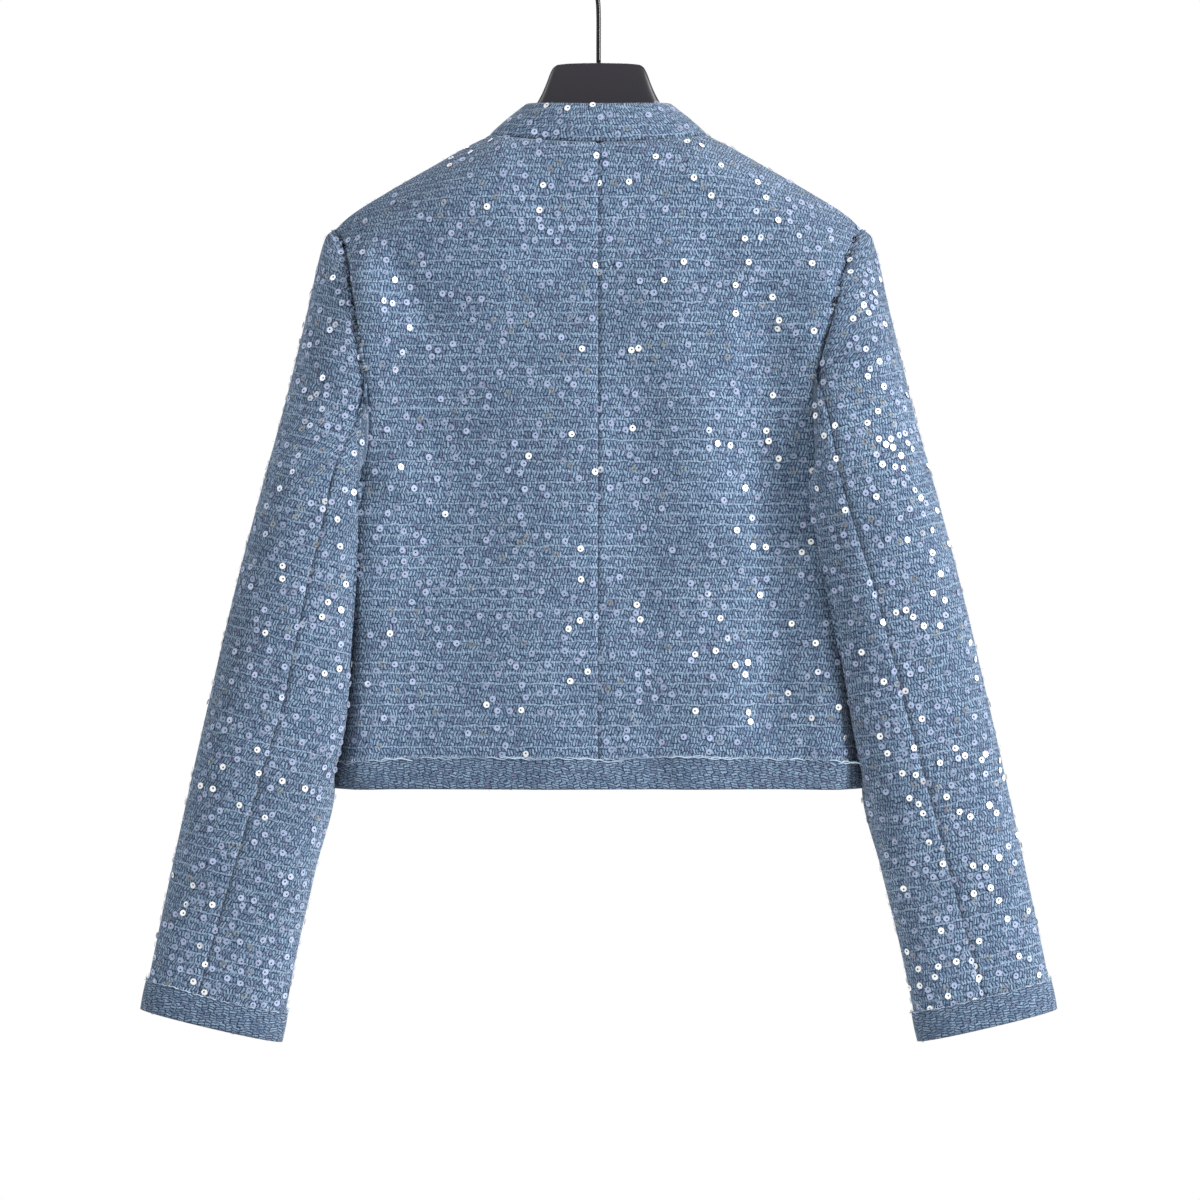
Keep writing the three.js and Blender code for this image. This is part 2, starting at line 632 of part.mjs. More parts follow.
function collarTopPoint({ point, face }) {
  const open = Math.max(1 - (point.x / NECK_HALF) ** 2, 0);
  const [depth, rise] = face === BACK ? [COLLAR_TOP.back, COLLAR_RISE.back]
    : [COLLAR_TOP.front, COLLAR_RISE.front];
  return new THREE.Vector3(point.x / NECK_HALF * COLLAR_TOP.half, depth * Math.sqrt(open),
    point.z + mix(COLLAR_RISE.side, rise, open));
}

const collarColumns = collarEdge();
const collarRows = [0, 0.5, 1].map((share) => collarColumns.map((at) => {
  const top = collarTopPoint(at);
  const up = top.clone().sub(at.point);
  up.addScaledVector(at.normal, -up.dot(at.normal)).normalize();
  return at.point.clone().addScaledVector(up, SEAM * (1 - share)).lerp(top, share);
}));
const collar = finishSheet(collarRows.flat(), gridFaces(collarRows.length, collarColumns.length),
  (p) => new THREE.Vector3(0, 0, p.z));
collarColumns.forEach((at, i) => collar.normals[i].copy(at.normal));
addMesh('collar', wallGeometry(collar, 0, -CLOTH), BOUCLE);

// Trim laid round the hem, on the points of the panels
function hemTrim(stretches) {
  const columns = stretches.flatMap(([side, face, reversed]) => {
    const sheet = panelOf(side, face);
    const list = Array.from({ length: sheet.columns }, (_, c) => [sheet, c]);
    return reversed ? list.reverse() : list;
  });
  const apart = columns.filter(([sheet, c], i) => (
    i === 0 || sheet.points[c].distanceTo(columns[i - 1][0].points[columns[i - 1][1]]) > 2 * SEAM));
  const points = [0, 1].flatMap((row) => apart.map(([sheet, c]) => {
    const point = sheet.points[row * sheet.columns + c].clone();
    if (row === 0) point.z -= TRIM_OVERHANG;
    return point;
  }));
  const normals = [0, 1].flatMap((row) => (
    apart.map(([sheet, c]) => sheet.normals[row * sheet.columns + c])));
  const sheet = finishSheet(points, gridFaces(2, apart.length), (p) => new THREE.Vector3(p.x, 0, p.z));
  return wallGeometry({ ...sheet, normals }, SEAM + TRIM_CLOTH, SEAM);
}

addMesh('hem_trim_back', hemTrim([[LEFT, BACK, true], [RIGHT, BACK, false]]), TRIM);
addMesh('hem_trim_front_left', hemTrim([[LEFT, FRONT, false]]), TRIM);
addMesh('hem_trim_front_right', hemTrim([[RIGHT, FRONT, false]]), TRIM);

// Trim round a cuff, on the last two cuts of the sleeve
function cuffTrim(side) {
  const sheet = sleeves.get(side);
  const start = (sheet.rows - 2) * sheet.columns;
  const down = sheet.points[start + sheet.columns].clone().sub(sheet.points[start]).normalize();
  const points = sheet.points.slice(start).map((point, i) => (
    point.clone().addScaledVector(down, i < sheet.columns ? 0 : TRIM_OVERHANG)));
  const faces = gridFaces(2, sheet.columns);
  const sum = points.reduce((total, point) => total.add(point), new THREE.Vector3());
  const middle = sum.divideScalar(points.length);
  const trim = finishSheet(points, faces, () => middle);
  return wallGeometry({ ...trim, normals: sheet.normals.slice(start) }, SEAM + TRIM_CLOTH, SEAM);
}

addMesh('cuff_trim_left', cuffTrim(LEFT), TRIM);
addMesh('cuff_trim_right', cuffTrim(RIGHT), TRIM);

// Hanger: one moulding whose sections run out along both arms from the neck plate
function hangerSection(x, row) {
  return Array.from({ length: HANGER_SIDES }, (_, i) => {
    const angle = 2 * Math.PI * (i + 0.5) / HANGER_SIDES;
    const [cos, sin] = [Math.cos(angle), Math.sin(angle)];
    const power = 2 / row.squareness;
    return new THREE.Vector3(x, row.thick * Math.sign(cos) * Math.abs(cos) ** power,
      (row.top + row.bottom) / 2 + (row.top - row.bottom) / 2 * Math.sign(sin) * Math.abs(sin) ** power);
  });
}

function hangerGeometry() {
  const arm = HANGER.slice(1);
  const sections = [
    ...arm.map((row) => hangerSection(-row.x, row)).reverse(),
    hangerSection(0, HANGER[0]),
    ...arm.map((row) => hangerSection(row.x, row)),
  ];
  const vertices = sections.flat();
  const ends = [sections[0], sections[sections.length - 1]].map((section) => (
    section.reduce((sum, point) => sum.add(point), new THREE.Vector3()).divideScalar(HANGER_SIDES)));
  const index = [];
  for (let s = 0; s < sections.length - 1; s += 1) {
    for (let i = 0; i < HANGER_SIDES; i += 1) {
      const next = (i + 1) % HANGER_SIDES;
      const [a, b] = [s * HANGER_SIDES + i, s * HANGER_SIDES + next];
      index.push(a, b, a + HANGER_SIDES, b, b + HANGER_SIDES, a + HANGER_SIDES);
    }
  }
  const last = (sections.length - 1) * HANGER_SIDES;
  for (let i = 0; i < HANGER_SIDES; i += 1) {
    const next = (i + 1) % HANGER_SIDES;
    index.push(vertices.length, next, i);
    index.push(vertices.length + 1, last + i, last + next);
  }
  const geometry = new THREE.BufferGeometry();
  geometry.setAttribute('position',
    new THREE.Float32BufferAttribute([...vertices, ...ends].flatMap((v) => v.toArray()), 3));
  geometry.setIndex(index);
  return geometry;
}

addMesh('hanger', hangerGeometry(), HANGER_PLASTIC);

// Hook: a wire that stands on the plate, leans out and goes round over the rail
const hookMiddle = WIRE_RADIUS - HOOK_RADIUS;
const hookRoute = [
  [0, PLATE_TOP + SEAM],
  [0, -92],
  [0, -74],
  [0.8, -61],
  [4.6, -48.5],
  [10.4, -38],
];
for (const angle of HOOK_ANGLES) {
  const turn = THREE.MathUtils.degToRad(angle);
  hookRoute.push([HOOK_RADIUS * Math.cos(turn), hookMiddle + HOOK_RADIUS * Math.sin(turn)]);
}
const hookCurve = new THREE.CatmullRomCurve3(hookRoute.map(([x, z]) => new THREE.Vector3(x, 0, z)));
const wire = new THREE.Shape().absarc(0, 0, WIRE_RADIUS, 0, 2 * Math.PI);
addMesh('hook', new THREE.ExtrudeGeometry(wire, {
  steps: HOOK_STEPS, curveSegments: HOOK_SIDES, bevelEnabled: false, extrudePath: hookCurve,
}), HOOK_METAL);

export default blazer;
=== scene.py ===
# %% [markdown]
# # A boucle blazer on a hanger
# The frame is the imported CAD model: sixteen plain solids in metres, with the inside top of the hook
# at the origin, +Z up and the back of the blazer towards +Y. Each solid is replaced below by a finer
# piece of the same form. Their shapes come from the same short tables of sizes, in millimetres.
# Blender starts with a cube, a lamp and a camera, which are taken away first.

# %% Load the frame
import bpy
import json
import math
import mathutils
import numpy as np
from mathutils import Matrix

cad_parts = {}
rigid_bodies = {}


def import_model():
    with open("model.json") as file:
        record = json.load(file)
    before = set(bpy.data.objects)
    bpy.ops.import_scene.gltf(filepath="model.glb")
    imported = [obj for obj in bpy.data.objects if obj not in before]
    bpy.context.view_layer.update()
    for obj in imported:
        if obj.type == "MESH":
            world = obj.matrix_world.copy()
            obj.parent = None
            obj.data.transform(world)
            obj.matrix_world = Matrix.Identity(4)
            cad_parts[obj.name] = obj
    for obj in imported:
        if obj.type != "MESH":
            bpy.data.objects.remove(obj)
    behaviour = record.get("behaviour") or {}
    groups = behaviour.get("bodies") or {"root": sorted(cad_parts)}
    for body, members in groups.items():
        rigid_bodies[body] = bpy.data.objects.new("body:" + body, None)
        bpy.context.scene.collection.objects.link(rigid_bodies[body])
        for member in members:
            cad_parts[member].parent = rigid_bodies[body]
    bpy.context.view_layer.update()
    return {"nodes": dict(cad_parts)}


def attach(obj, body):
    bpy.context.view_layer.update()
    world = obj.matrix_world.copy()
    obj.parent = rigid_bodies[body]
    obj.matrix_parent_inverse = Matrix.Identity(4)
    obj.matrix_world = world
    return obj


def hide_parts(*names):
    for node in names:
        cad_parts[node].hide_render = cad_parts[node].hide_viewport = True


for item in list(bpy.data.objects):
    bpy.data.objects.remove(item)
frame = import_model()
MM = 0.001
print("solids in the frame:", len(frame["nodes"]))

# %% [markdown]
# ## Curves through short tables
# A garment's shape is easiest to keep in a few measured rows: how wide it is at the hem, at the waist,
# at the underarm. A curve through these rows must not overshoot, or a smooth side seam would bulge
# between two equal widths. The slope at each row is the harmonic mean of the slopes beside it, which
# gives that. The same curve turns a coarse grid of points into a fine one.

# %% Tables and curves
def table(columns, rows):
    grid = np.array(rows, float)
    return {name: grid[:, i] for i, name in enumerate(columns)}


def curve(x, y, at):
    """Values at each place of a curve through y without overshoot; y may be a grid of points."""
    spans = np.diff(x).reshape(-1, *([1] * (y.ndim - 1)))
    rise = np.diff(y, axis=0) / spans
    product, total = rise[:-1] * rise[1:], rise[:-1] + rise[1:]
    inner = np.where(product > 0, 2 * product / np.where(product > 0, total, 1), 0)
    slope = np.concatenate([rise[:1], inner, rise[-1:]])
    at = np.clip(at, x[0], x[-1])
    i = np.clip(np.searchsorted(x, at, side="right") - 1, 0, len(x) - 2)
    shape = np.shape(i) + (1,) * (y.ndim - 1)
    span = np.reshape(x[i + 1] - x[i], shape)
    t = np.reshape(at - x[i], shape) / span
    bend = t * t * (3 - 2 * t)
    return (y[i] * (1 - bend) + y[i + 1] * bend
            + span * (slope[i] * t * (1 - t) ** 2 - slope[i + 1] * t * t * (1 - t)))


def read(rows, column, at):
    by = next(iter(rows))
    x, y = rows[by], rows[column]
    if x[0] > x[-1]:
        x, y = x[::-1], y[::-1]
    return curve(x, y, np.asarray(at, float))


def mix(a, b, share):
    return a + (b - a) * share


LEFT, RIGHT, BACK, FRONT = 1, -1, 1, -1
SIDE_NAME, FACE_NAME = {LEFT: "left", RIGHT: "right"}, {BACK: "back", FRONT: "front"}
SEAM = 0.3
HEM, UNDERARM = -663.0, -436.0
TIP_X, TIP_Z, TOP_HALF = 203.0, -238.0, 205.6
NECK_HALF, NECK_POINT = 84.0, -165.8
NECK_DEPTH = {BACK: 38.0, FRONT: 46.0}
NECK_LOW = {BACK: -173.8, FRONT: -248.0}
SHOULDER_ROLL, NECK_ROLL = 38.0, 62.0
BODY_SQUARENESS = 2.5

GIRTH = table(["z", "half", "back", "front"], [
    [-663, 206.5, 46, 46],
    [-560, 204.5, 47.5, 50],
    [-436, 206, 49.5, 54],
    [-300, 206, 50, 52],
    [-160, 205, 48, 48],
])
SHOULDER = table(["x", "z"], [
    [84, -165.8], [98, -172.6], [130, -190.3], [162.6, -208.7], [191.6, -227], [203, -238],
])
ARMHOLE = table(["z", "back_left", "back_right", "front"], [
    [-436, 206, 206, 206],
    [-435.3, 204, 203.6, 204],
    [-433.5, 198.5, 196, 198.5],
    [-427.5, 189.5, 184, 189],
    [-418, 181, 174, 179],
    [-405, 175.5, 166.5, 171],
    [-388, 173.5, 162.5, 166],
    [-368, 175, 162, 165],
    [-347, 178, 166, 167],
    [-325, 181.2, 171, 170],
    [-303, 184.7, 176.5, 174],
    [-282, 187.8, 182, 179],
    [-264, 190.6, 187.5, 185],
    [-250, 194, 193, 191],
    [-242, 198.5, 198.3, 197.5],
    [-238, 203, 203, 203],
])
print("width at the hem:", 2 * read(GIRTH, "half", HEM), "mm")

# %% [markdown]
# ## Folds of the body
# A hung jacket isn't smooth: cloth swells between the shoulder blade and the sleeve, and falls in long,
# soft troughs from the points that carry it. Each row places one, from one point to another, as a
# ridge that stands proud or a trough that sinks, with its own width. They follow the light and dark
# zones of the photo on the back. The front isn't seen, so it gets some of the same kind.

# %% Table of folds
# A row holds x and z of the start and of the end, the width, and the rise.
FOLDS = {
    BACK: [
        [176, -262, 156, -430, 17, 4.5], [156, -430, 164, -600, 22, 5], [160, -262, 130, -312, 12, -4.5],
        [112, -300, 106, -560, 26, -3.5], [184, -290, 187, -640, 26, 15],
        [-176, -290, -184, -640, 29, 15], [35, -480, 42, -640, 30, 3], [-22, -360, -38, -640, 20, -3.5],
        [-52, -270, -84, -470, 22, 3.5], [-112, -250, -96, -330, 14, 3], [-120, -300, -130, -600, 20, -6],
        [-118, -215, -168, -240, 12, -3], [-95, -590, -70, -640, 24, 3],
    ],
    FRONT: [
        [150, -300, 120, -560, 24, 4.5], [95, -330, 85, -620, 22, -3.5], [45, -400, 40, -640, 22, 3],
        [-148, -290, -128, -520, 24, 4], [-90, -360, -78, -600, 24, -4], [-38, -420, -44, -620, 20, 3],
    ],
}
CREASES = {
    BACK: [
        [168, -300, 120, -330, 7, 1.1], [150, -352, 108, -372, 8, -0.9], [178, -420, 128, -448, 8, 1.0],
        [172, -500, 120, -520, 9, -0.8], [150, -560, 90, -585, 10, 0.9], [60, -215, 20, -230, 9, -0.7],
        [12, -300, 30, -420, 9, 0.8], [70, -600, 60, -650, 9, -0.9], [-18, -205, -70, -218, 8, 0.8],
        [-60, -240, -110, -262, 8, -0.9], [-120, -300, -158, -322, 8, 1.1],
        [-100, -400, -150, -428, 9, -1.0], [-110, -480, -165, -512, 9, 1.1],
        [-60, -520, -100, -560, 10, 0.8], [-120, -610, -160, -645, 9, -0.9],
        [-20, -600, -30, -655, 8, 0.8],
    ],
    FRONT: [
        [160, -350, 110, -375, 9, 1.0], [150, -470, 100, -490, 9, -0.9], [60, -560, 50, -640, 9, 0.9],
        [-160, -340, -112, -368, 9, 1.0], [-150, -460, -104, -484, 9, -0.9],
        [-62, -540, -50, -640, 9, 0.8],
    ],
}


def ridge(across, along, to_across, to_along, width, rise):
    """Height of a soft ridge that runs from the origin to one point."""
    t = np.clip((across * to_across + along * to_along) / (to_across ** 2 + to_along ** 2), 0, 1)
    away = np.hypot(across - t * to_across, along - t * to_along)
    return rise * np.exp(-((away / width) ** 2))


def fold_rise(rows, x, z):
    rise = np.zeros(np.broadcast(x, z).shape)
    for from_x, from_z, to_x, to_z, width, height in rows:
        rise += ridge(x - from_x, z - from_z, to_x - from_x, to_z - from_z, width, height)
    return rise


print("folds and creases:", sum(len(rows[face]) for rows in (FOLDS, CREASES) for face in (BACK, FRONT)))

# %% [markdown]
# ## A body panel as a grid
# A level cut of the body is a rounded box: the superellipse x^n + y^n = 1, with n a little over 2. Grain
# lines of the cloth run down from the shoulder seam and the neckline. `panel_point` gives a point from
# the place where its grain line starts and the height and width of the panel's outer edge, so that the
# columns fan in towards the armhole just as the cloth does. Near the top the wall rolls in to the seam.
# Under the armhole the columns crowd together. There `relaxed` moves each point to the middle of its
# neighbours again and again, and then back onto the same surface.

# %% Points of a panel
NECK_POWER = {BACK: 1, FRONT: 0.75}
CENTRE_GAP = {BACK: SEAM / 2, FRONT: 1.0}
ROLL_CHANGE, EDGE_FADE = 20, 22


def swing(share):
    return np.arcsin(np.clip(share, 0, 1) ** (BODY_SQUARENESS / 2))


def roll_at(place):
    """The height over which the wall rolls in to the neckline or the shoulder seam."""
    return mix(NECK_ROLL, SHOULDER_ROLL, np.clip((place - NECK_HALF) / ROLL_CHANGE + 1, 0, 1))


def edge_fade(half, x):
    """Folds fade out towards the side of the body."""
    return np.clip((half - x) / EDGE_FADE, 0, 1)


def top_edge(face, place):
    """Depth and height of the neckline, and then of the shoulder seam."""
    open_ = np.clip(1 - (place / NECK_HALF) ** 2, 0, 1)
    neck_z = mix(NECK_POINT, NECK_LOW[face], open_ ** NECK_POWER[face])
    shoulder = place >= NECK_HALF
    return (np.where(shoulder, 0, NECK_DEPTH[face] * np.sqrt(open_)),
            np.where(shoulder, read(SHOULDER, "z", place), neck_z))


def panel_point(side, face, place, edge_z, edge_x, rows_of_folds=(FOLDS, CREASES)):
    top_y, top_z = top_edge(face, place)
    z = mix(HEM, top_z, (edge_z - HEM) / (TIP_Z - HEM))
    half = read(GIRTH, "half", z)
    turn = swing(place / TOP_HALF) / swing(TIP_X / TOP_HALF) * swing(edge_x / half)
    power = 2 / BODY_SQUARENESS
    x = half * np.sin(turn) ** power
    full = read(GIRTH, FACE_NAME[face], z) * np.maximum(np.cos(turn), 0) ** power
    drop = np.clip((top_z - z) / roll_at(place), 0, 1)
    proud = mix(top_y, full, np.sqrt(1 - (1 - drop) ** 2))
    for rows in rows_of_folds:
        proud = proud + drop * edge_fade(half, x) * fold_rise(rows[face], side * x, z)
    return np.stack([side * np.maximum(x, CENTRE_GAP[face]), face * np.maximum(proud, SEAM / 2), z], -1)


CROWDED_ROWS = 9
ARMHOLE_STEPS = np.arange(len(ARMHOLE["z"]), dtype=float)


def panel_edge(side, face, heights, steps):
    """Height, evenly spread height and width of the outer edge, up the side and then the armhole."""
    z = curve(ARMHOLE_STEPS, ARMHOLE["z"], steps)
    widest = read(GIRTH, "half", UNDERARM)
    column = "front" if face == FRONT else f"back_{SIDE_NAME[side]}"
    turns = curve(ARMHOLE_STEPS, swing(ARMHOLE[column] / widest), steps)
    x = widest * np.sin(turns) ** (2 / BODY_SQUARENESS)
    spread = mix(UNDERARM, ARMHOLE["z"][CROWDED_ROWS], steps / CROWDED_ROWS)
    even = np.where(steps < CROWDED_ROWS, spread, z)
    return (np.concatenate([heights, z]), np.concatenate([heights, even]),
            np.concatenate([read(GIRTH, "half", heights), x]))


def panel_grid(side, face, places, heights, steps, **options):
    edge_z, even, edge_x = (row[:, None] for row in panel_edge(side, face, heights, steps))
    height = mix(even, edge_z, (places[None] / TIP_X) ** 2)
    return panel_point(side, face, np.broadcast_to(places, height.shape), height, edge_x, **options)


PLACES = np.concatenate([
    [0, 0.7, 1.5, 2.6, 4], np.arange(6.4, 198, 2.5), [199.8, 201.2, 202.3, TIP_X]])
PLACES = np.sort(np.append(PLACES[np.abs(PLACES - NECK_HALF) > 0.9], NECK_HALF))
SIDE = np.concatenate([[HEM, HEM + 1.5], np.linspace(HEM + 4, UNDERARM - 3, 76)])
STEPS = np.linspace(0, ARMHOLE_STEPS[-1], 76)
LEVEL_ROWS, RELAX_ROUNDS = slice(60, 118), 220


def on_panel(side, face, x, z):
    """Points of a panel below the shoulder's roll, from how far out and how high they are."""
    half = read(GIRTH, "half", z)
    level = np.maximum(1 - (x / half) ** BODY_SQUARENESS, 0)
    y = read(GIRTH, FACE_NAME[face], z) * level ** (1 / BODY_SQUARENESS)
    for rows in (FOLDS, CREASES):
        y = y + edge_fade(half, x) * fold_rise(rows[face], side * x, z)
    return np.stack([side * x, face * np.maximum(y, SEAM / 2), z], -1)


def relaxed(side, face, grid):
    """The grid with the points below the armhole spread out evenly, so that no face is crushed."""
    part = grid[LEVEL_ROWS].copy()
    flat = np.stack([np.abs(part[..., 0]), part[..., 2]], -1)
    for _ in range(RELAX_ROUNDS):
        flat[1:-1, 1:-1] = (flat[:-2, 1:-1] + flat[2:, 1:-1] + flat[1:-1, :-2] + flat[1:-1, 2:]) / 4
    level = on_panel(side, face, flat[..., 0], flat[..., 1])
    part[1:-1, 1:-1] = level[1:-1, 1:-1]
    result = grid.copy()
    result[LEVEL_ROWS] = part
    return result


panels = {(side, face): relaxed(side, face, panel_grid(side, face, PLACES, SIDE, STEPS))
          for side in (LEFT, RIGHT) for face in (BACK, FRONT)}
print("points in a panel:", panels[LEFT, BACK].shape[:2])

# %% [markdown]
# ## The sleeves as grids
# A sleeve is sewn to the armhole's edge, so its first rows start and end on the panels' points, and in
# between they go round the arm. Level cuts of it are rounded boxes too, worked out from its outer and
# inner edge. Where it hangs against the body, points are pushed out along the body's own slope. A coarse
# grid is enough for all this, and the overshoot-free curve then makes it fine in both directions.

# %% Points of a sleeve
SLEEVE_SQUARENESS, SLEEVE_CLEARANCE = 2.2, 3.0
CUFF_END, TRIM_WIDTH = -831.0, 22.0
SLEEVE = table(["z", "outer", "inner_left", "inner_right", "middle", "back_left", "back_right",
                "front", "slope"], [
    [-238, 203, 203, 203, 0, 0, 0, 0, 0],
    [-242, 207.8, 188, 188, 0, 11, 11, 11, 0],
    [-250, 211, 177, 178, 0, 20, 21, 20, 0],
    [-264, 214.7, 165, 173, 0, 28, 31, 28, 0],
    [-303, 223.3, 145, 165, 1, 37, 45, 37, 0],
    [-350, 234.2, 126, 158, 4, 42, 52, 43, 0],
    [-396, 245.5, 152, 151, 13, 43, 51, 50, 0],
    [-425, 253.2, 169, 151.5, 20, 42, 49, 52, 0],
    [-447, 258.8, 173.5, 154.6, 24, 41, 46.5, 50, 0.01],
    [-500, 272.5, 178, 166, 28, 38, 41, 45, 0.06],
    [-540, 282.3, 180, 175.5, 28, 37, 38, 41, 0.11],
    [-590, 294, 186, 186, 27, 35, 35, 37, 0.16],
    [-641, 305.8, 200, 200, 25, 33, 33, 33, 0.205],
    [-700, 319, 214.5, 214.5, 22, 30, 30, 30, 0.235],
    [-757, 331.5, 227.5, 228.5, 20, 27, 27, 27, 0.235],
    [-831, 347, 242, 244, 18.5, 23.5, 23.5, 23.5, 0.235],
])
TURN = table(["z", "back_left", "back_right", "front"], [
    [-238, 90, 90, -90], [-264, 90, 108, -90], [-303, 90, 134, -90], [-350, 98, 151, -92],
    [-374, 108, 158, -95], [-396, 125, 166, -100], [-412, 150, 176, -107], [-425, 185, 194, -114],
    [-436, 235, 235, -125],
])
ELBOW_SEAM = table(["z", "left", "right"], [
    [-347, 98, 151], [-374, 102, 126], [-408, 104, 115], [-446, 104, 110], [-526, 95, 102],
    [-630, 90, 97], [-744, 83, 93], [-831, 76, 89],
])
INNER_SEAM = table(["z", "left", "right"], [[-368, -95, -95], [-418, -88, -88], [-831, -84, -84]])
SLEEVE_HEIGHTS = np.array([
    -447, -468, -500, -540, -590, -641, -700, -757, CUFF_END + TRIM_WIDTH, CUFF_END])
WING, UPPER, FRONT_WING = 10, 10, 3
BACK_REACH, FRONT_REACH = 75, 38
UNDERARM_TUCK, TUCK_TOP, TUCK_FULL = 4.2, -396, -418
RAISED_OUT = [1, 0.8, 0.5, 0.2]
BESIDE_TIP, BELOW_UNDERARM, TIP_OUT = 187, 26.0, [0.86, 0, -0.5]
PUSH_ROUNDS, LARGEST_PUSH = 12, 0.25
HEM_CLEARANCE, HEM_CLEARANCE_TOP = 1.6, HEM + 66


def rounded(wave, power):
    return np.sign(wave) * np.abs(wave) ** power


def cut_point(side, z, angle):
    name, power = SIDE_NAME[side], 2 / SLEEVE_SQUARENESS
    outer, inner = read(SLEEVE, "outer", z), read(SLEEVE, f"inner_{name}", z)
    cos, sin = np.cos(np.radians(angle)), np.sin(np.radians(angle))
    x = (outer + inner) / 2 + (outer - inner) / 2 * rounded(cos, power)
    depth = np.where(sin > 0, read(SLEEVE, f"back_{name}", z), read(SLEEVE, "front", z))
    y = read(SLEEVE, "middle", z) + depth * rounded(sin, power)
    return np.stack([side * x, y, z - read(SLEEVE, "slope", z) * (outer - x)], -1)


def sleeve_angles(side, z):
    name = SIDE_NAME[side]
    back, front = read(TURN, f"back_{name}", z), read(TURN, "front", z)
    elbow = back if z >= ELBOW_SEAM["z"][0] else read(ELBOW_SEAM, name, z)
    inner = front if z >= INNER_SEAM["z"][0] else read(INNER_SEAM, name, z)
    stops = ((back, elbow, WING), (elbow, inner, UPPER), (inner, front, FRONT_WING))
    return np.concatenate([[back]] + [np.linspace(a, b, n + 1)[1:] for a, b, n in stops])


def clear_of_body(side, points, clearance):
    """Points that are nearer the body than the clearance, moved straight away from it."""
    z = points[:, 2]
    face = np.where(points[:, 1] >= 0, BACK, FRONT)
    half = read(GIRTH, "half", z) + clearance
    depth = np.where(face == BACK, read(GIRTH, "back", z), read(GIRTH, "front", z)) + clearance
    fold = np.where(face == BACK, *(fold_rise(FOLDS[f], points[:, 0], z) for f in (BACK, FRONT)))
    lift = np.maximum(fold * edge_fade(half, side * points[:, 0]), 0)
    x = np.maximum(side * points[:, 0], 1)
    y = np.maximum(face * points[:, 1] - lift, 0)
    n = BODY_SQUARENESS
    for _ in range(PUSH_ROUNDS):
        level = (x / half) ** n + (y / depth) ** n - 1
        slope_x, slope_y = n / half * (x / half) ** (n - 1), n / depth * (y / depth) ** (n - 1)
        push = np.minimum(-level, LARGEST_PUSH) / (slope_x ** 2 + slope_y ** 2)
        share = np.where(level < 0, push, 0)
        x, y = x + share * slope_x, y + share * slope_y
    moved = np.stack([side * x, face * (y + lift), z], -1)
    beside = (z >= HEM - SLEEVE_CLEARANCE) & (z <= TIP_Z - SHOULDER_ROLL)
    return np.where(beside[:, None], moved, points)


def unit(v):
    return v / np.maximum(np.linalg.norm(v, axis=-1, keepdims=True), 1e-12)


def armhole_edge(side, face):
    """Points of a panel's armhole from the tip down, and the way out of the panel there."""
    grid = panel_grid(side, face, np.array([BESIDE_TIP, TIP_X]), np.array([UNDERARM - BELOW_UNDERARM]),
                      ARMHOLE_STEPS, rows_of_folds=(FOLDS,))
    edge = grid[1:, 1]
    around = np.gradient(grid[:, 1], axis=0)[1:]
    normal = unit(np.cross(around, edge - grid[1:, 0])) * side * -face
    low = len(RAISED_OUT)
    z = edge[:low, 2]
    depth, half = read(GIRTH, FACE_NAME[face], z), read(GIRTH, "half", z)
    power = BODY_SQUARENESS - 1
    normal[:low] = unit(np.stack([side * (np.abs(edge[:low, 0]) / half) ** power / half,
                                  face * (np.abs(edge[:low, 1]) / depth) ** power / depth, 0 * z], -1))
    ends = np.clip(np.arange(len(edge))[:, None] + [-1, 1], 0, len(edge) - 1)
    along = edge[ends[:, 1]] - edge[ends[:, 0]]
    out = unit(np.cross(along, normal)) * -side * face
    out[:low] = unit(mix(out[:low], np.array([0, 0, 1.0]), np.array(RAISED_OUT)[:, None]))
    out[-1] = np.array(TIP_OUT) * [side, 1, 1]
    return edge[::-1], out[::-1]


def sleeve_coarse(side):
    (back, back_out), (front, front_out) = armhole_edge(side, BACK), armhole_edge(side, FRONT)
    rows = []
    for k, z in enumerate(back[:, 2]):
        angles = sleeve_angles(side, z)
        tuck = UNDERARM_TUCK * np.clip((TUCK_TOP - z) / (TUCK_TOP - TUCK_FULL), 0, 1)
        sewn = np.stack([back[k] + back_out[k] * (SEAM + tuck), front[k] + front_out[k] * (SEAM + tuck)])
        if k in (0, len(back) - 1):
            sewn[:, 1] = 0
        row = cut_point(side, np.full(angles.shape, z), angles)
        from_back = np.clip(1 - (angles[0] - angles) / BACK_REACH, 0, 1) ** 2
        from_front = np.clip(1 - (angles - angles[-1]) / FRONT_REACH, 0, 1) ** 2
        row = (row + from_back[:, None] * (sewn[0] - row[0])
               + from_front[:, None] * (sewn[1] - row[-1]))
        if k == 0:
            row[:] = sewn[0]
        near = np.minimum(*(np.linalg.norm(row - end, axis=1) for end in sewn))
        free = (near > 1) & (np.arange(len(row)) > 0) & (np.arange(len(row)) < len(row) - 1)
        cleared = clear_of_body(side, row, np.minimum(SLEEVE_CLEARANCE, 2 + near / 4))
        rows.append(np.where(free[:, None], cleared, row))
    for z in SLEEVE_HEIGHTS:
        angles = sleeve_angles(side, z)
        row = cut_point(side, np.full(angles.shape, z), angles)
        more = HEM_CLEARANCE if z < HEM_CLEARANCE_TOP else 0
        rows.append(clear_of_body(side, row, SLEEVE_CLEARANCE + more))
    return np.stack(rows)


ROW_STEP, COLUMN_SPLIT = 3.2, 5


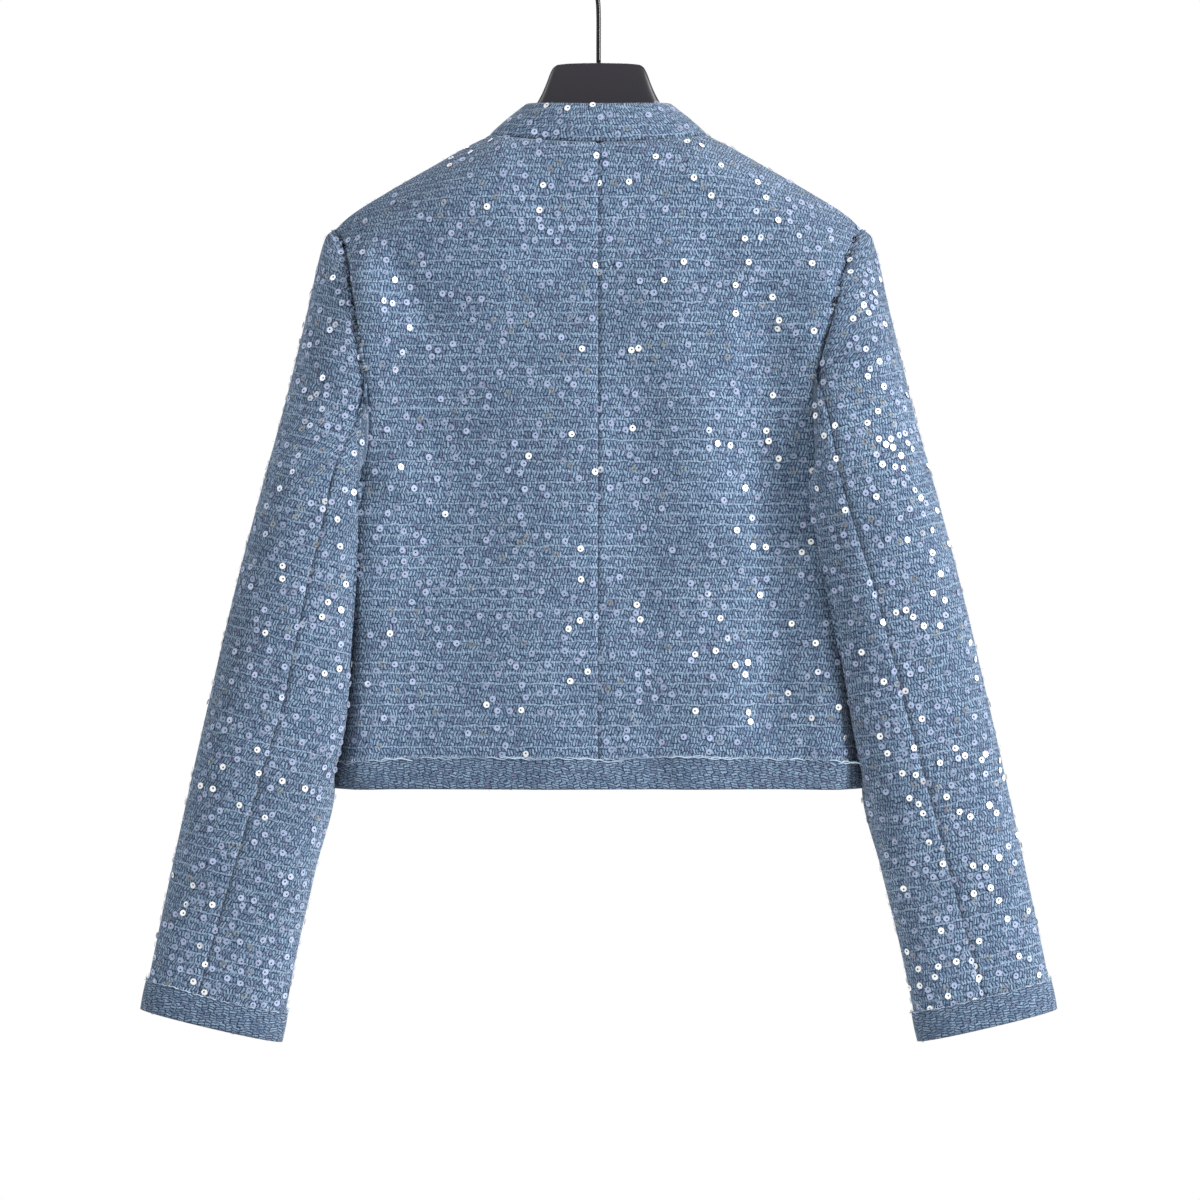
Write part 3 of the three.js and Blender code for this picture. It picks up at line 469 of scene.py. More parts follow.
def sleeve_fine(side):
    coarse = sleeve_coarse(side)
    lengths = np.linalg.norm(np.diff(coarse, axis=0), axis=2).max(axis=1)
    counts = np.maximum(np.round(lengths / ROW_STEP).astype(int), 2)
    rows = np.concatenate([i + np.arange(n) / n for i, n in enumerate(counts)] + [[len(counts)]])
    columns = np.arange((coarse.shape[1] - 1) * COLUMN_SPLIT + 1) / COLUMN_SPLIT
    down = curve(np.arange(len(coarse), dtype=float), coarse, rows)
    across = curve(np.arange(coarse.shape[1], dtype=float), down.transpose(1, 0, 2), columns)
    return across.transpose(1, 0, 2)


sleeves = {side: sleeve_fine(side) for side in (LEFT, RIGHT)}
print("points in a sleeve:", sleeves[LEFT].shape[:2])

# %% [markdown]
# ## From a grid to a thin wall
# Real boucle is a thin wall with two faces and a cut edge, and open ends such as the hem show all three.
# `wall` gives a grid its thickness. It joins points that coincide, adds up the normals of the faces
# round each point, makes a second layer along them, and closes every free edge with a rim. The UV map
# holds real lengths in metres along and up the cloth, so that the weave has one size everywhere.

# %% Wall builder
WELD = 0.02


def arc(grid, axis):
    step = np.linalg.norm(np.diff(grid, axis=axis), axis=2)
    zero = np.zeros_like(np.take(step, [0], axis))
    return np.concatenate([zero, np.cumsum(step, axis=axis)], axis)


def grid_faces(grid, first=0, last=None):
    """Corners of the squares between a grid's points, in some of its columns or in all."""
    rows, columns = grid.shape[:2]
    r, c = np.meshgrid(np.arange(rows - 1), np.arange(columns - 1)[first:last], indexing="ij")
    a = (r * columns + c).ravel()
    return np.stack([a, a + 1, a + columns + 1, a + columns], 1)


def surface(points, faces, away):
    """Merged points, polygons and their corners' old numbers, and unit normals that look outward."""
    used, faces = np.unique(faces, return_inverse=True)
    faces, points, away = faces.reshape(-1, 4), points[used], away[used]
    _, first, same = np.unique(np.round(points / WELD), axis=0, return_index=True, return_inverse=True)
    merged, ring = points[first], same.ravel()[faces]
    normal = np.cross(merged[ring[:, 2]] - merged[ring[:, 0]], merged[ring[:, 3]] - merged[ring[:, 1]])
    if (normal * away[faces[:, 0]]).sum() < 0:
        faces, ring, normal = faces[:, ::-1], ring[:, ::-1], -normal
    sums = np.zeros_like(merged)
    for corner in range(4):
        np.add.at(sums, ring[:, corner], normal)
    polygons, corners = [], []
    for at, names in zip(ring.tolist(), used[faces].tolist()):
        keep = [i for i in range(4) if at[i] != at[i - 1]]
        if len(keep) > 2:
            polygons.append([at[i] for i in keep])
            corners.append([names[i] for i in keep])
    return merged, polygons, corners, unit(sums)


def new_mesh(name, points, faces, edges=()):
    mesh = bpy.data.meshes.new(name)
    mesh.from_pydata(np.asarray(points) * MM, edges, faces)
    mesh.update()
    return mesh


def add_object(name, data):
    item = bpy.data.objects.new(name, data)
    bpy.context.scene.collection.objects.link(item)
    return item


def wall(name, points, faces, away, uv, thickness, lift=0.0):
    """Closed wall: its outside is lifted from the points, its inside lies one thickness deeper."""
    merged, polygons, corners, normals = surface(points, faces, away)
    shift = len(merged)
    edges = {(at[i - 1], at[i]): (names[i - 1], names[i])
             for at, names in zip(polygons, corners) for i in range(len(at))}
    layers = polygons + [[v + shift for v in reversed(at)] for at in polygons]
    old = corners + [names[::-1] for names in corners]
    for (a, b), (old_a, old_b) in edges.items():
        if (b, a) not in edges:
            layers.append([b, a, a + shift, b + shift])
            old.append([old_b, old_a, old_a, old_b])
    both = np.concatenate([merged + lift * normals, merged + (lift - thickness) * normals])
    mesh = new_mesh(name, both, layers)
    mesh.polygons.foreach_set("use_smooth", np.ones(len(layers), bool))
    flat = uv.reshape(-1, 2)[np.concatenate(old)] * MM
    mesh.uv_layers.new(name="UVMap").data.foreach_set("uv", flat.ravel().astype(np.float32))
    return add_object(name, mesh)


def seam_dip(distance, depth=1.1, width=2.0):
    return depth * np.exp(-((distance / width) ** 2))


def grid_normals(grid, away):
    normal = unit(np.cross(np.gradient(grid, axis=1), np.gradient(grid, axis=0)))
    return normal * np.sign((normal * away).sum(-1, keepdims=True) + 1e-9)


# %% [markdown]
# ## The four body panels
# The two back panels meet at a sewn centre seam, and each front ends in a free edge. Cloth sinks a
# little where a seam pulls it in, so points close to a seam are dipped into the wall. The dip is deepest
# on the seam and gone 4 mm away, which draws the fine dark line that the photo shows.

# %% Build the panels
CLOTH = 2.0
SIDE_DIP, BACK_DIP, DEEPEST_DIP = 0.7, 1.5, 1.6
UV_ACROSS, UV_UP = 400, 700
CUT_STEPS, ROLL_PARTS = 400, 12
pieces, outer_sheets, flats = {}, {}, {}


def flat_size(grid, faces):
    """Width, length and area of a piece laid flat, in metres."""
    points = grid.reshape(-1, 3)
    a, b, c, d = (points[faces[:, i]] for i in range(4))
    area = np.linalg.norm(np.cross(c - a, d - b), axis=1).sum() / 2
    columns = np.unique(faces % grid.shape[1])
    steps = np.linalg.norm(np.diff(grid[:, columns], axis=1), axis=2)
    width = steps[:, np.diff(columns) == 1].sum(1).max()
    length = np.linalg.norm(np.diff(grid[:, columns], axis=0), axis=2).sum(0).max()
    return width * MM, length * MM, area * MM * MM


def add_piece(node, grid, faces, away, uv, thickness, lift=0.0):
    outer_sheets[node] = sheet = (grid.reshape(-1, 3), faces, away.reshape(-1, 3))
    pieces[node] = wall(f"cloth_{node}", *sheet, uv, thickness, lift)
    flats[node] = flat_size(grid, faces)


def panel_uv(side, face, grid):
    """Length round the body from its middle, and up it from level zero and over the shoulder's roll."""
    top_y, top_z = top_edge(face, PLACES)
    roll = roll_at(PLACES)
    half, depth = GIRTH["half"].mean(), GIRTH["back"].mean()
    turn = np.linspace(0, np.pi / 2, CUT_STEPS)
    power = 2 / BODY_SQUARENESS
    cut = np.stack([half * np.sin(turn) ** power, depth * np.maximum(np.cos(turn), 0) ** power], -1)
    length = np.concatenate([[0], np.cumsum(np.linalg.norm(np.diff(cut, axis=0), axis=1))])
    around = np.interp(np.abs(grid[..., 0]), cut[:, 0], length)
    angle = np.arcsin(np.clip(1 - (top_z - grid[..., 2]) / roll, 0, 1))
    parts = angle[..., None] * (np.arange(ROLL_PARTS) + 0.5) / ROLL_PARTS
    reach = np.hypot(roll[:, None] * np.cos(parts), (depth - top_y)[:, None] * np.sin(parts)).mean(-1)
    up = np.minimum(grid[..., 2], top_z - roll) + angle * reach
    return np.stack([side * around + UV_ACROSS, up + UV_UP], -1)


def panel_node(side, face):
    return f"{FACE_NAME[face]}_{SIDE_NAME[side]}"


for (side, face), grid in panels.items():
    away = grid * [0.06, 0, 0] + [0, face * 50.0, 0]
    across, up = arc(grid, 1), arc(grid, 0)
    dip = seam_dip(across[:, -1:] - across, SIDE_DIP) + seam_dip(up[-1:] - up) * (PLACES >= NECK_HALF)
    if face == BACK:
        dip = dip + seam_dip(across, BACK_DIP)
    shaped = grid - np.minimum(dip, DEEPEST_DIP)[..., None] * grid_normals(grid, away)
    add_piece(panel_node(side, face), shaped, grid_faces(grid), away, panel_uv(side, face, grid), CLOTH)
print("panels:", {node: tuple(round(v, 3) for v in flats[node]) for node in flats})

# %% [markdown]
# ## The sleeves in two pieces each
# A tailored sleeve is an upper and an under piece, joined down the elbow and inside the arm. Both are cut
# out of one grid by its columns. The under piece goes round the free edge of the grid, so its two ranges
# of columns join by themselves where their points coincide, and part again at the armhole.

# %% Build the sleeves
# A row holds the turn round the arm and the height of the start and of the end, the width, and the rise.
SLEEVE_CREASES = {
    LEFT: [
        [20, -330, 70, -352, 9, 1.2], [100, -420, 40, -452, 10, 1.3], [130, -500, 60, -520, 10, -1.2],
        [110, -566, 40, -585, 11, 1.3], [60, -640, 100, -665, 10, -1.0], [40, -720, 100, -742, 10, 1.0],
        [-20, -470, -60, -490, 10, 1.0], [-30, -600, -70, -622, 10, -1.0],
    ],
    RIGHT: [
        [30, -318, 90, -330, 9, 1.1], [70, -396, 120, -424, 10, 1.4], [60, -470, 130, -486, 11, -1.2],
        [30, -540, 100, -566, 11, 1.4], [60, -616, 110, -634, 10, -1.1], [40, -690, 100, -706, 10, 1.1],
        [50, -770, 90, -782, 9, 0.9], [-20, -520, -64, -540, 10, 1.0],
    ],
}
ELBOW, INNER, LAST = (n * COLUMN_SPLIT for n in (WING, WING + UPPER, WING + UPPER + FRONT_WING))
SLEEVE_RADIUS, TOP_SPREAD, TOP_FADE, TUCK_FADE = 46.0, 0.01, 40, 4
SLEEVE_SEAM_DIP, ARMHOLE_DIP = 1.7, 0.5


def crease_rise(side, turn, z):
    """Height of the small folds of a sleeve at a turn round it in degrees."""
    rise = np.zeros(turn.shape)
    for from_turn, from_z, to_turn, to_z, width, height in SLEEVE_CREASES[side]:
        across, to_across = (np.radians(angle - from_turn) * SLEEVE_RADIUS for angle in (turn, to_turn))
        rise += ridge(across, z - from_z, to_across, to_z - from_z, width, height)
    return rise


for side, grid in sleeves.items():
    grid = grid.copy()
    grid[0] += np.array([0, 0, TOP_SPREAD]) * np.linspace(-1, 1, grid.shape[1])[:, None]
    away = grid - (grid[:, ELBOW:ELBOW + 1] + grid[:, INNER - 1:INNER]) / 2
    turn = np.degrees(np.arctan2(away[..., 1], side * away[..., 0]))
    across, up = arc(grid, 1), arc(grid, 0)
    top = np.minimum(up / TOP_FADE, 1)
    lift = crease_rise(side, turn, grid[..., 2]) * top
    for seam in (ELBOW, INNER):
        lift = lift - seam_dip(across - across[:, seam:seam + 1], SLEEVE_SEAM_DIP) * top
    for edge in (0, -1):
        sewn = grid[..., 2] > UNDERARM - TUCK_FADE
        lift = lift - seam_dip(across - across[:, edge:][:, :1], ARMHOLE_DIP) * sewn * top
    shaped = grid + lift[..., None] * grid_normals(grid, away)
    parts = {"upper": [(ELBOW, INNER)], "under": [(0, ELBOW), (INNER, LAST)]}
    uv = np.stack([side * (across - across[:, ELBOW:ELBOW + 1]) + UV_ACROSS, up[-1:] - up], -1)
    for part, ranges in parts.items():
        moved = shaped.copy()
        for seam, step in ((ELBOW, 1), (INNER, -1)):
            step = step if part == "upper" else -step
            moved[:, seam] += unit(shaped[:, seam + step] - shaped[:, seam]) * SEAM / 2
        faces = np.concatenate([grid_faces(grid, a, b) for a, b in ranges])
        add_piece(f"sleeve_{part}_{SIDE_NAME[side]}", moved, faces, away, uv, CLOTH)
print("sleeves:", {node: tuple(round(v, 3) for v in flats[node]) for node in flats if "sleeve" in node})

# %% [markdown]
# ## Collar, hem trim and cuff trims
# The collar is one band that stands on the neckline of all four panels. The trims are strips of the same
# cloth, turned so that their grain runs round the hem. They lie on the cloth below them, so they are made
# from its points, lifted off it, and their raw top edge wavers a little as a frayed edge does.

# %% Build the band and the trims
COLLAR_TOP_HALF = 55.0
COLLAR_TOP_DEPTH = {BACK: 30.0, FRONT: 52.0}
COLLAR_RISE_SIDE, COLLAR_RISE_MIDDLE = 24.5, 30.0
NECK_COLUMN = int(np.flatnonzero(PLACES == NECK_HALF)[0])
COLLAR_BOW, COLLAR_ROWS, TRIM_PUFF, TRIM_ROWS = 0.9, 12, 0.35, 10
TRIM_CLOTH, TRIM_OVERHANG = 1.6, 0.8


def without_twins(line):
    """Which points of a line to keep, so that none lies on the far side of a seam from the last."""
    return np.append(True, np.linalg.norm(np.diff(line, axis=0), axis=1) > 2 * SEAM)


def collar_grid():
    base, tops = [], []
    for side, face, turned in ((LEFT, FRONT, 1), (LEFT, BACK, -1), (RIGHT, BACK, 1), (RIGHT, FRONT, -1)):
        line = panels[side, face][-1, :NECK_COLUMN + 1][::turned]
        open_ = np.clip(1 - (line[:, 0] / NECK_HALF) ** 2, 0, 1)
        top = np.stack([line[:, 0] / NECK_HALF * COLLAR_TOP_HALF,
                        face * COLLAR_TOP_DEPTH[face] * np.sqrt(open_),
                        line[:, 2] + mix(COLLAR_RISE_SIDE, COLLAR_RISE_MIDDLE, open_)], -1)
        base.append(line)
        tops.append(top)
    base, tops = np.concatenate(base), np.concatenate(tops)
    apart = without_twins(base)
    base, tops = base[apart], tops[apart]
    base = base + unit(tops - base) * SEAM
    share = np.linspace(0, 1, COLLAR_ROWS)[:, None, None]
    bow = np.sin(np.pi * share) * COLLAR_BOW
    out = unit(np.stack([base[:, 0] * 0.6, base[:, 1], 0 * base[:, 2]], -1))
    return mix(base, tops, share) + bow * out


collar = collar_grid()
away = collar * [0.6, 1, 0]
edge_dip = seam_dip(arc(collar, 0), 0.8, 2.5)[..., None] * grid_normals(collar, away)
uv = np.stack([np.broadcast_to(arc(collar, 1).mean(0), collar.shape[:2]), arc(collar, 0)], -1)
add_piece("collar", collar - edge_dip, grid_faces(collar), away, uv, CLOTH)


def waver(along, seed):
    """Small uneven shifts of a cut edge, in millimetres."""
    phase = np.random.default_rng(seed).uniform(0, 6.28, 5)
    return sum(math.sqrt(1 / n) * np.sin(along / (31 / n) + phase[n - 1]) for n in range(1, 6)) * 0.42


def add_trim(node, base, away, seed):
    """A strip over the rows of a grid, its first row at the free end of the cloth below."""
    at = np.arange(len(base), dtype=float)
    reach = arc(base, 0).mean(1)
    grid = curve(at, base, np.interp(np.linspace(0, TRIM_WIDTH, TRIM_ROWS), reach, at))
    along = arc(grid, 1)
    up = unit(grid[-1] - grid[0])
    share = np.linspace(0, 1, TRIM_ROWS)[:, None, None]
    grid = grid + (share * waver(along, seed)[..., None] - (1 - share) * TRIM_OVERHANG) * up
    away = np.broadcast_to(away, grid.shape)
    grid = grid + TRIM_PUFF * np.sin(np.pi * share) * grid_normals(grid, away)
    uv = np.stack([along, arc(grid, 0)], -1)
    add_piece(node, grid, grid_faces(grid), away, uv, TRIM_CLOTH, SEAM + TRIM_CLOTH)
    return grid[-1], grid_normals(grid, away)[-1]


HEM_ROWS = int(np.searchsorted(SIDE, HEM + TRIM_WIDTH)) + 1
trim_edges = {}
strips = {
    "hem_trim_back": [(LEFT, BACK, -1), (RIGHT, BACK, 1)],
    "hem_trim_front_left": [(LEFT, FRONT, 1)],
    "hem_trim_front_right": [(RIGHT, FRONT, 1)],
}
for seed, (node, stretches) in enumerate(strips.items()):
    base = np.concatenate(
        [panels[side, face][:HEM_ROWS, ::turned] for side, face, turned in stretches], 1)
    base = base[:, without_twins(base[0])]
    trim_edges[node] = add_trim(node, base, base[:1] * [1, 3, 0], seed)
for side, grid in sleeves.items():
    node = f"cuff_trim_{SIDE_NAME[side]}"
    length = arc(grid[::-1], 0)[:, ELBOW]
    base = grid[::-1][:int(np.searchsorted(length, TRIM_WIDTH)) + 1]
    trim_edges[node] = add_trim(node, base, (base - base.mean(1, keepdims=True))[:1], 7 + side)
print("pieces of cloth:", len(pieces))

# %% [markdown]
# ## Hanger and hook
# The hanger is one moulding with wide shoulders, so its sections change all the way: a flat plate with
# rounded edges in the middle and almost round arms. Superellipses do both, with a squareness that falls
# from 4 to 2. The hook is a steel wire. Both meshes are rings of points joined one to the next.

# %% Build the hanger and the hook
HANGER = table(["x", "top", "bottom", "thick", "squareness"], [
    [0, -110, -190, 6, 4],
    [20, -110.4, -190.5, 6, 4],
    [31, -111.4, -191, 6, 4],
    [34.5, -113.5, -191.5, 6, 4],
    [37, -118, -192, 6, 4],
    [40, -126, -192.5, 6, 4],
    [44, -135, -193, 6, 3.6],
    [50, -145, -194, 6.5, 3.2],
    [60, -156, -196, 7.5, 2.8],
    [74, -167, -201, 9, 2.4],
    [87, -173, -207, 10.5, 2],
    [120, -188.8, -226, 13, 2],
    [152, -207, -243, 14, 2],
    [174, -220.8, -253, 12.5, 2],
    [184, -230, -252, 9, 2],
])
WIRE_RADIUS, HOOK_RADIUS, PLATE_TOP = 1.75, 19.0, -110.0
HANGER_SIDES, WIRE_SIDES, WIRE_RINGS, WIRE_TIP = 56, 16, 140, [0.94, 0.75, 0.4]


def tube(name, rings):
    """Mesh through rings of points, closed at both ends."""
    count, sides = rings.shape[:2]
    first = np.arange(count - 1)[:, None] * sides
    a, b = ((first + (np.arange(sides) + step) % sides).ravel() for step in (0, 1))
    quads = np.stack([a, b, b + sides, a + sides], 1).tolist()
    ends = [list(range(sides))[::-1], list(range((count - 1) * sides, count * sides))]
    mesh = new_mesh(name, rings.reshape(-1, 3), quads + ends)
    mesh.polygons.foreach_set("use_smooth", np.ones(len(mesh.polygons), bool))
    if sum(p.normal.dot(p.center) * p.area for p in mesh.polygons) < 0:
        mesh.flip_normals()
    mesh.update()
    return add_object(name, mesh)


def circle(sides, start=0.0):
    """Evenly spaced turns round a ring."""
    return 2 * np.pi * (np.arange(sides) + start) / sides


stops = HANGER["x"]
x = np.concatenate([np.linspace(a, b, 5)[:-1] for a, b in zip(stops, stops[1:])] + [stops[-1:]])
x = np.concatenate([-x[:0:-1], x])
cos, sin = np.cos(circle(HANGER_SIDES, 0.5)), np.sin(circle(HANGER_SIDES, 0.5))
top, bottom, thick, square = (read(HANGER, name, np.abs(x))[:, None]
                              for name in ("top", "bottom", "thick", "squareness"))
rings = np.stack([
    np.broadcast_to(x[:, None], (len(x), HANGER_SIDES)),
    thick * rounded(cos, 2 / square),
    (top + bottom) / 2 + (top - bottom) / 2 * rounded(sin, 2 / square),
], -1)
hanger = tube("hanger_moulding", rings)

hook_angles = np.radians([-32, -8, 18, 45, 72, 100, 128, 156, 184, 206])
route = np.concatenate([
    [[0, PLATE_TOP + SEAM], [0, -92], [0, -74], [0.8, -61], [4.6, -48.5], [10.4, -38]],
    np.stack([HOOK_RADIUS * np.cos(hook_angles),
              WIRE_RADIUS - HOOK_RADIUS + HOOK_RADIUS * np.sin(hook_angles)], -1),
])
ends = np.concatenate([2 * route[:1] - route[1:2], route, 2 * route[-1:] - route[-2:-1]])
t = np.linspace(0, len(route) - 1, WIRE_RINGS)
i = np.minimum(t.astype(int), len(route) - 2)
f = (t - i)[:, None]
p = [ends[i + k] for k in range(4)]
path = 0.5 * (2 * p[1] + (p[2] - p[0]) * f + (2 * p[0] - 5 * p[1] + 4 * p[2] - p[3]) * f ** 2
              + (3 * p[1] - p[0] - 3 * p[2] + p[3]) * f ** 3)
way = unit(np.gradient(path, axis=0))
radius = np.full(len(path), WIRE_RADIUS)
radius[-3:] = WIRE_RADIUS * np.array(WIRE_TIP)
cos, sin = (radius[:, None] * wave(circle(WIRE_SIDES)) for wave in (np.cos, np.sin))
rings = np.stack([path[:, None, 0] - cos * way[:, None, 1], sin,
                  path[:, None, 1] + cos * way[:, None, 0]], -1)
hook = tube("hook_wire", rings)
print("hanger and hook faces:", len(hanger.data.polygons), len(hook.data.polygons))

# %% [markdown]
# ## A node tree that scatters small things on cloth
# Thousands of sequins are sewn on this cloth, each through the hole in its middle. Geometry Nodes place
# them: Poisson points keep a least distance, every copy lies on the surface, spins freely and tilts a
# little, as a disc held by one thread does. The tree stores a random number with each copy, which the
# material reads later. The same tree also scatters the loose fibres of the yarn.

# %% Scatter tree
def add_node(tree, kind, inputs=None, **settings):
    """A new node. Each input is linked to the socket given for it, or set to the value."""
    item = tree.nodes.new(kind)
    for key, value in settings.items():
        setattr(item, key, value)
    for key, value in (inputs or {}).items():
        value = getattr(value, "socket", value)
        if isinstance(value, bpy.types.NodeSocket):
            tree.links.new(value, item.inputs[key])
        else:
            item.inputs[key].default_value = value
    return item


def new_tree(name, **kinds):
    """A tree with the inputs that every tree here has, and some of its own."""
    tree = bpy.data.node_groups.new(name, "GeometryNodeTree")
    kinds = {"Geometry": "Geometry", "Shape": "Object", "Smallest": "Float", "Seed": "Int",
             "Material": "Material", **kinds}
    for label, kind in kinds.items():
        tree.interface.new_socket(label, in_out="INPUT", socket_type=f"NodeSocket{kind}")
    tree.interface.new_socket("Geometry", in_out="OUTPUT", socket_type="NodeSocketGeometry")
    return tree, add_node(tree, "NodeGroupInput").outputs


def random_turns(tree, largest, seed):
    """A random turn about each axis for every point, up to the largest both ways."""
    least = add_node(tree, "ShaderNodeVectorMath", {0: largest, "Scale": -1.0}, operation="SCALE")
    number = add_node(tree, "GeometryNodeInputIndex")
    return add_node(tree, "FunctionNodeRandomValue", {
        "Min": least.outputs[0], "Max": largest, "Seed": seed, "ID": number.outputs[0],
    }, data_type="FLOAT_VECTOR").outputs["Value"]


def turned_copies(tree, given, points, facing, turns):
    """A copy of the shape on each point, turned from the way it faces, its size left to chance."""
    turn = add_node(tree, "FunctionNodeEulerToRotation", {"Euler": turns}).outputs[0]
    rotation = add_node(tree, "FunctionNodeRotateRotation", {"Rotation": facing, "Rotate By": turn},
                        rotation_space="LOCAL").outputs[0]
    size = add_node(tree, "FunctionNodeRandomValue", {
        2: given["Smallest"], 3: 1.0, "Seed": given["Seed"]}, data_type="FLOAT").outputs[1]
    shape = add_node(tree, "GeometryNodeObjectInfo", {"Object": given["Shape"]}).outputs["Geometry"]
    return add_node(tree, "GeometryNodeInstanceOnPoints", {
        "Points": points, "Instance": shape, "Rotation": rotation, "Scale": size}).outputs[0]


def finish_tree(tree, given, copies):
    """Each copy gets its random number, and all become one mesh with its material."""
    number = add_node(tree, "GeometryNodeInputIndex").outputs[0]
    chance = add_node(tree, "FunctionNodeRandomValue", {
        2: 0.0, 3: 1.0, "Seed": given["Seed"], "ID": number}, data_type="FLOAT").outputs[1]
    stored = add_node(tree, "GeometryNodeStoreNamedAttribute", {
        "Geometry": copies, "Name": "chance", "Value": chance}, domain="INSTANCE", data_type="FLOAT")
    real = add_node(tree, "GeometryNodeRealizeInstances", {"Geometry": stored.outputs[0]})
    painted = add_node(tree, "GeometryNodeSetMaterial", {
        "Geometry": real.outputs[0], "Material": given["Material"]})
    add_node(tree, "NodeGroupOutput", {0: painted.outputs[0]})


scatter, given = new_tree(
    "Scatter on cloth", Spacing="Float", Density="Float", Lift="Float", Tilt="Float")
spread = add_node(scatter, "GeometryNodeDistributePointsOnFaces", {
    "Mesh": given["Geometry"], "Distance Min": given["Spacing"], "Density Max": given["Density"],
    "Seed": given["Seed"]}, distribute_method="POISSON").outputs
largest = add_node(scatter, "ShaderNodeCombineXYZ", {
    "X": given["Tilt"], "Y": given["Tilt"], "Z": math.pi})
turns = random_turns(scatter, largest.outputs[0], given["Seed"])
copies = turned_copies(scatter, given, spread["Points"], spread["Rotation"], turns)
raise_by = add_node(scatter, "ShaderNodeCombineXYZ", {"Z": given["Lift"]})
lifted = add_node(scatter, "GeometryNodeTranslateInstances", {
    "Instances": copies, "Translation": raise_by.outputs[0]})
finish_tree(scatter, given, lifted.outputs[0])
print("nodes in the scatter tree:", len(scatter.nodes))


def run_tree(name, base, tree, values):
    """The plain mesh that a tree makes from a base mesh, as a new object."""
    maker = add_object(name, base)
    modifier = maker.modifiers.new("Tree", "NODES")
    modifier.node_group = tree
    for socket in tree.interface.items_tree:
        if socket.in_out == "INPUT" and socket.name in values:
            modifier[socket.identifier] = values[socket.name]
    bpy.context.view_layer.update()
    seen = maker.evaluated_get(bpy.context.evaluated_depsgraph_get())
    mesh = bpy.data.meshes.new_from_object(seen)
    maker.modifiers.clear()
    maker.data = mesh
    mesh.name = name
    bpy.data.meshes.remove(base)
    return maker


# %% [markdown]
# ## Colours of the yarns
# Boucle looks blue from afar, but it is a mix of light blue, mid blue, navy and greyish purple yarns. A
# node group draws the weave from the UV map, whose unit is a metre. Rows of short strokes lean left and
# right in turn, blocks of them are staggered, and uneven light threads cross them every 8 mm. The group
# gives a colour and a height. The same group serves the trim, with its two directions exchanged. A small
# class, `Value`, lets the many sums be written as sums, where each sign adds one Math node.

# %% Weave group
class Value:
    """A number in a node tree. Sums with it are written as usual, and each adds a Math node."""

    def __init__(self, socket):
        self.socket = socket

    def maths(self, operation, *others):
        item = add_node(self.socket.id_data, "ShaderNodeMath", dict(enumerate((self, *others))),
                        operation=operation)
        return Value(item.outputs[0])

    def __add__(self, other):
        return self.maths("ADD", other)

    def __sub__(self, other):
        return self.maths("SUBTRACT", other)

    def __mul__(self, other):
        return self.maths("MULTIPLY", other)

    def __truediv__(self, other):
        return self.maths("DIVIDE", other)

    def bounce(self, height):
        """Up and down between nought and a height, again and again."""
        return self.maths("PINGPONG", height)

    def between(self, low, high, to_low=0.0, to_high=1.0, kind="SMOOTHSTEP"):
        """From one end value to the other while this goes from low to high, and level outside."""
        return Value(add_node(self.socket.id_data, "ShaderNodeMapRange", {
            "Value": self, "From Min": low, "From Max": high, "To Min": to_low, "To Max": to_high,
        }, interpolation_type=kind).outputs[0])


def blend(tree, share, a, b, kind="MIX"):
    item = add_node(tree, "ShaderNodeMix", {0: share, 6: a, 7: b}, data_type="RGBA", blend_type=kind)
    return item.outputs[2]


def noise(tree, place, scale, detail=2.0, output="Fac"):
    values = {"Vector": place, "Scale": scale, "Detail": detail}
    return Value(add_node(tree, "ShaderNodeTexNoise", values).outputs[output])


LIGHT_YARN = (0.33, 0.46, 0.615, 1)
MID_YARN = (0.098, 0.165, 0.275, 1)
DARK_YARN = (0.012, 0.026, 0.066, 1)
GREY_YARN = (0.20, 0.225, 0.345, 1)
THREAD_DASH, FINE, BROAD = 4.6, 1.9, 0.012
MEASURES = {"Pitch": 2.3, "Rows": 4.6, "Lean": 1.5, "Thread spacing": 8.0, "Threads": 0.7, "Shade": 1.0}

weave = bpy.data.node_groups.new("Boucle weave", "ShaderNodeTree")
weave.interface.new_socket("Place", in_out="INPUT", socket_type="NodeSocketVector")
for label, value in MEASURES.items():
    weave.interface.new_socket(label, in_out="INPUT", socket_type="NodeSocketFloat").default_value = value
weave.interface.new_socket("Color", in_out="OUTPUT", socket_type="NodeSocketColor")
weave.interface.new_socket("Height", in_out="OUTPUT", socket_type="NodeSocketFloat")
given = add_node(weave, "NodeGroupInput").outputs
pitch, rows, lean_by, spacing, threads, shade = (Value(given[label]) for label in MEASURES)


def shifted(place, scale, amount):
    """The place moved by soft noise, so that no yarn runs dead straight."""
    soft = noise(weave, place, scale, 1.0, "Color")
    off = add_node(weave, "ShaderNodeVectorMath", {0: soft, 1: (0.5, 0.5, 0.5)}, operation="SUBTRACT")
    return add_node(weave, "ShaderNodeVectorMath", {0: off.outputs[0], 1: (amount, amount, 0), 2: place},
                    operation="MULTIPLY_ADD").outputs[0]


def random_at(x, y=None):
    """A random number for each whole cell."""
    cell = add_node(weave, "ShaderNodeCombineXYZ", {
        "X": x.maths("FLOOR"), "Y": y.maths("FLOOR") if y else 0.0}).outputs[0]
    return Value(add_node(weave, "ShaderNodeTexWhiteNoise", {"Vector": cell},
                          noise_dimensions="2D").outputs["Value"])


place = add_node(weave, "ShaderNodeVectorMath", {0: given["Place"], "Scale": 1000.0},
                 operation="SCALE").outputs[0]
apart = shifted(shifted(place, 0.11, 3.4), 0.6, 1.2)
apart = add_node(weave, "ShaderNodeSeparateXYZ", {0: apart}).outputs
x, y = Value(apart[0]), Value(apart[1])

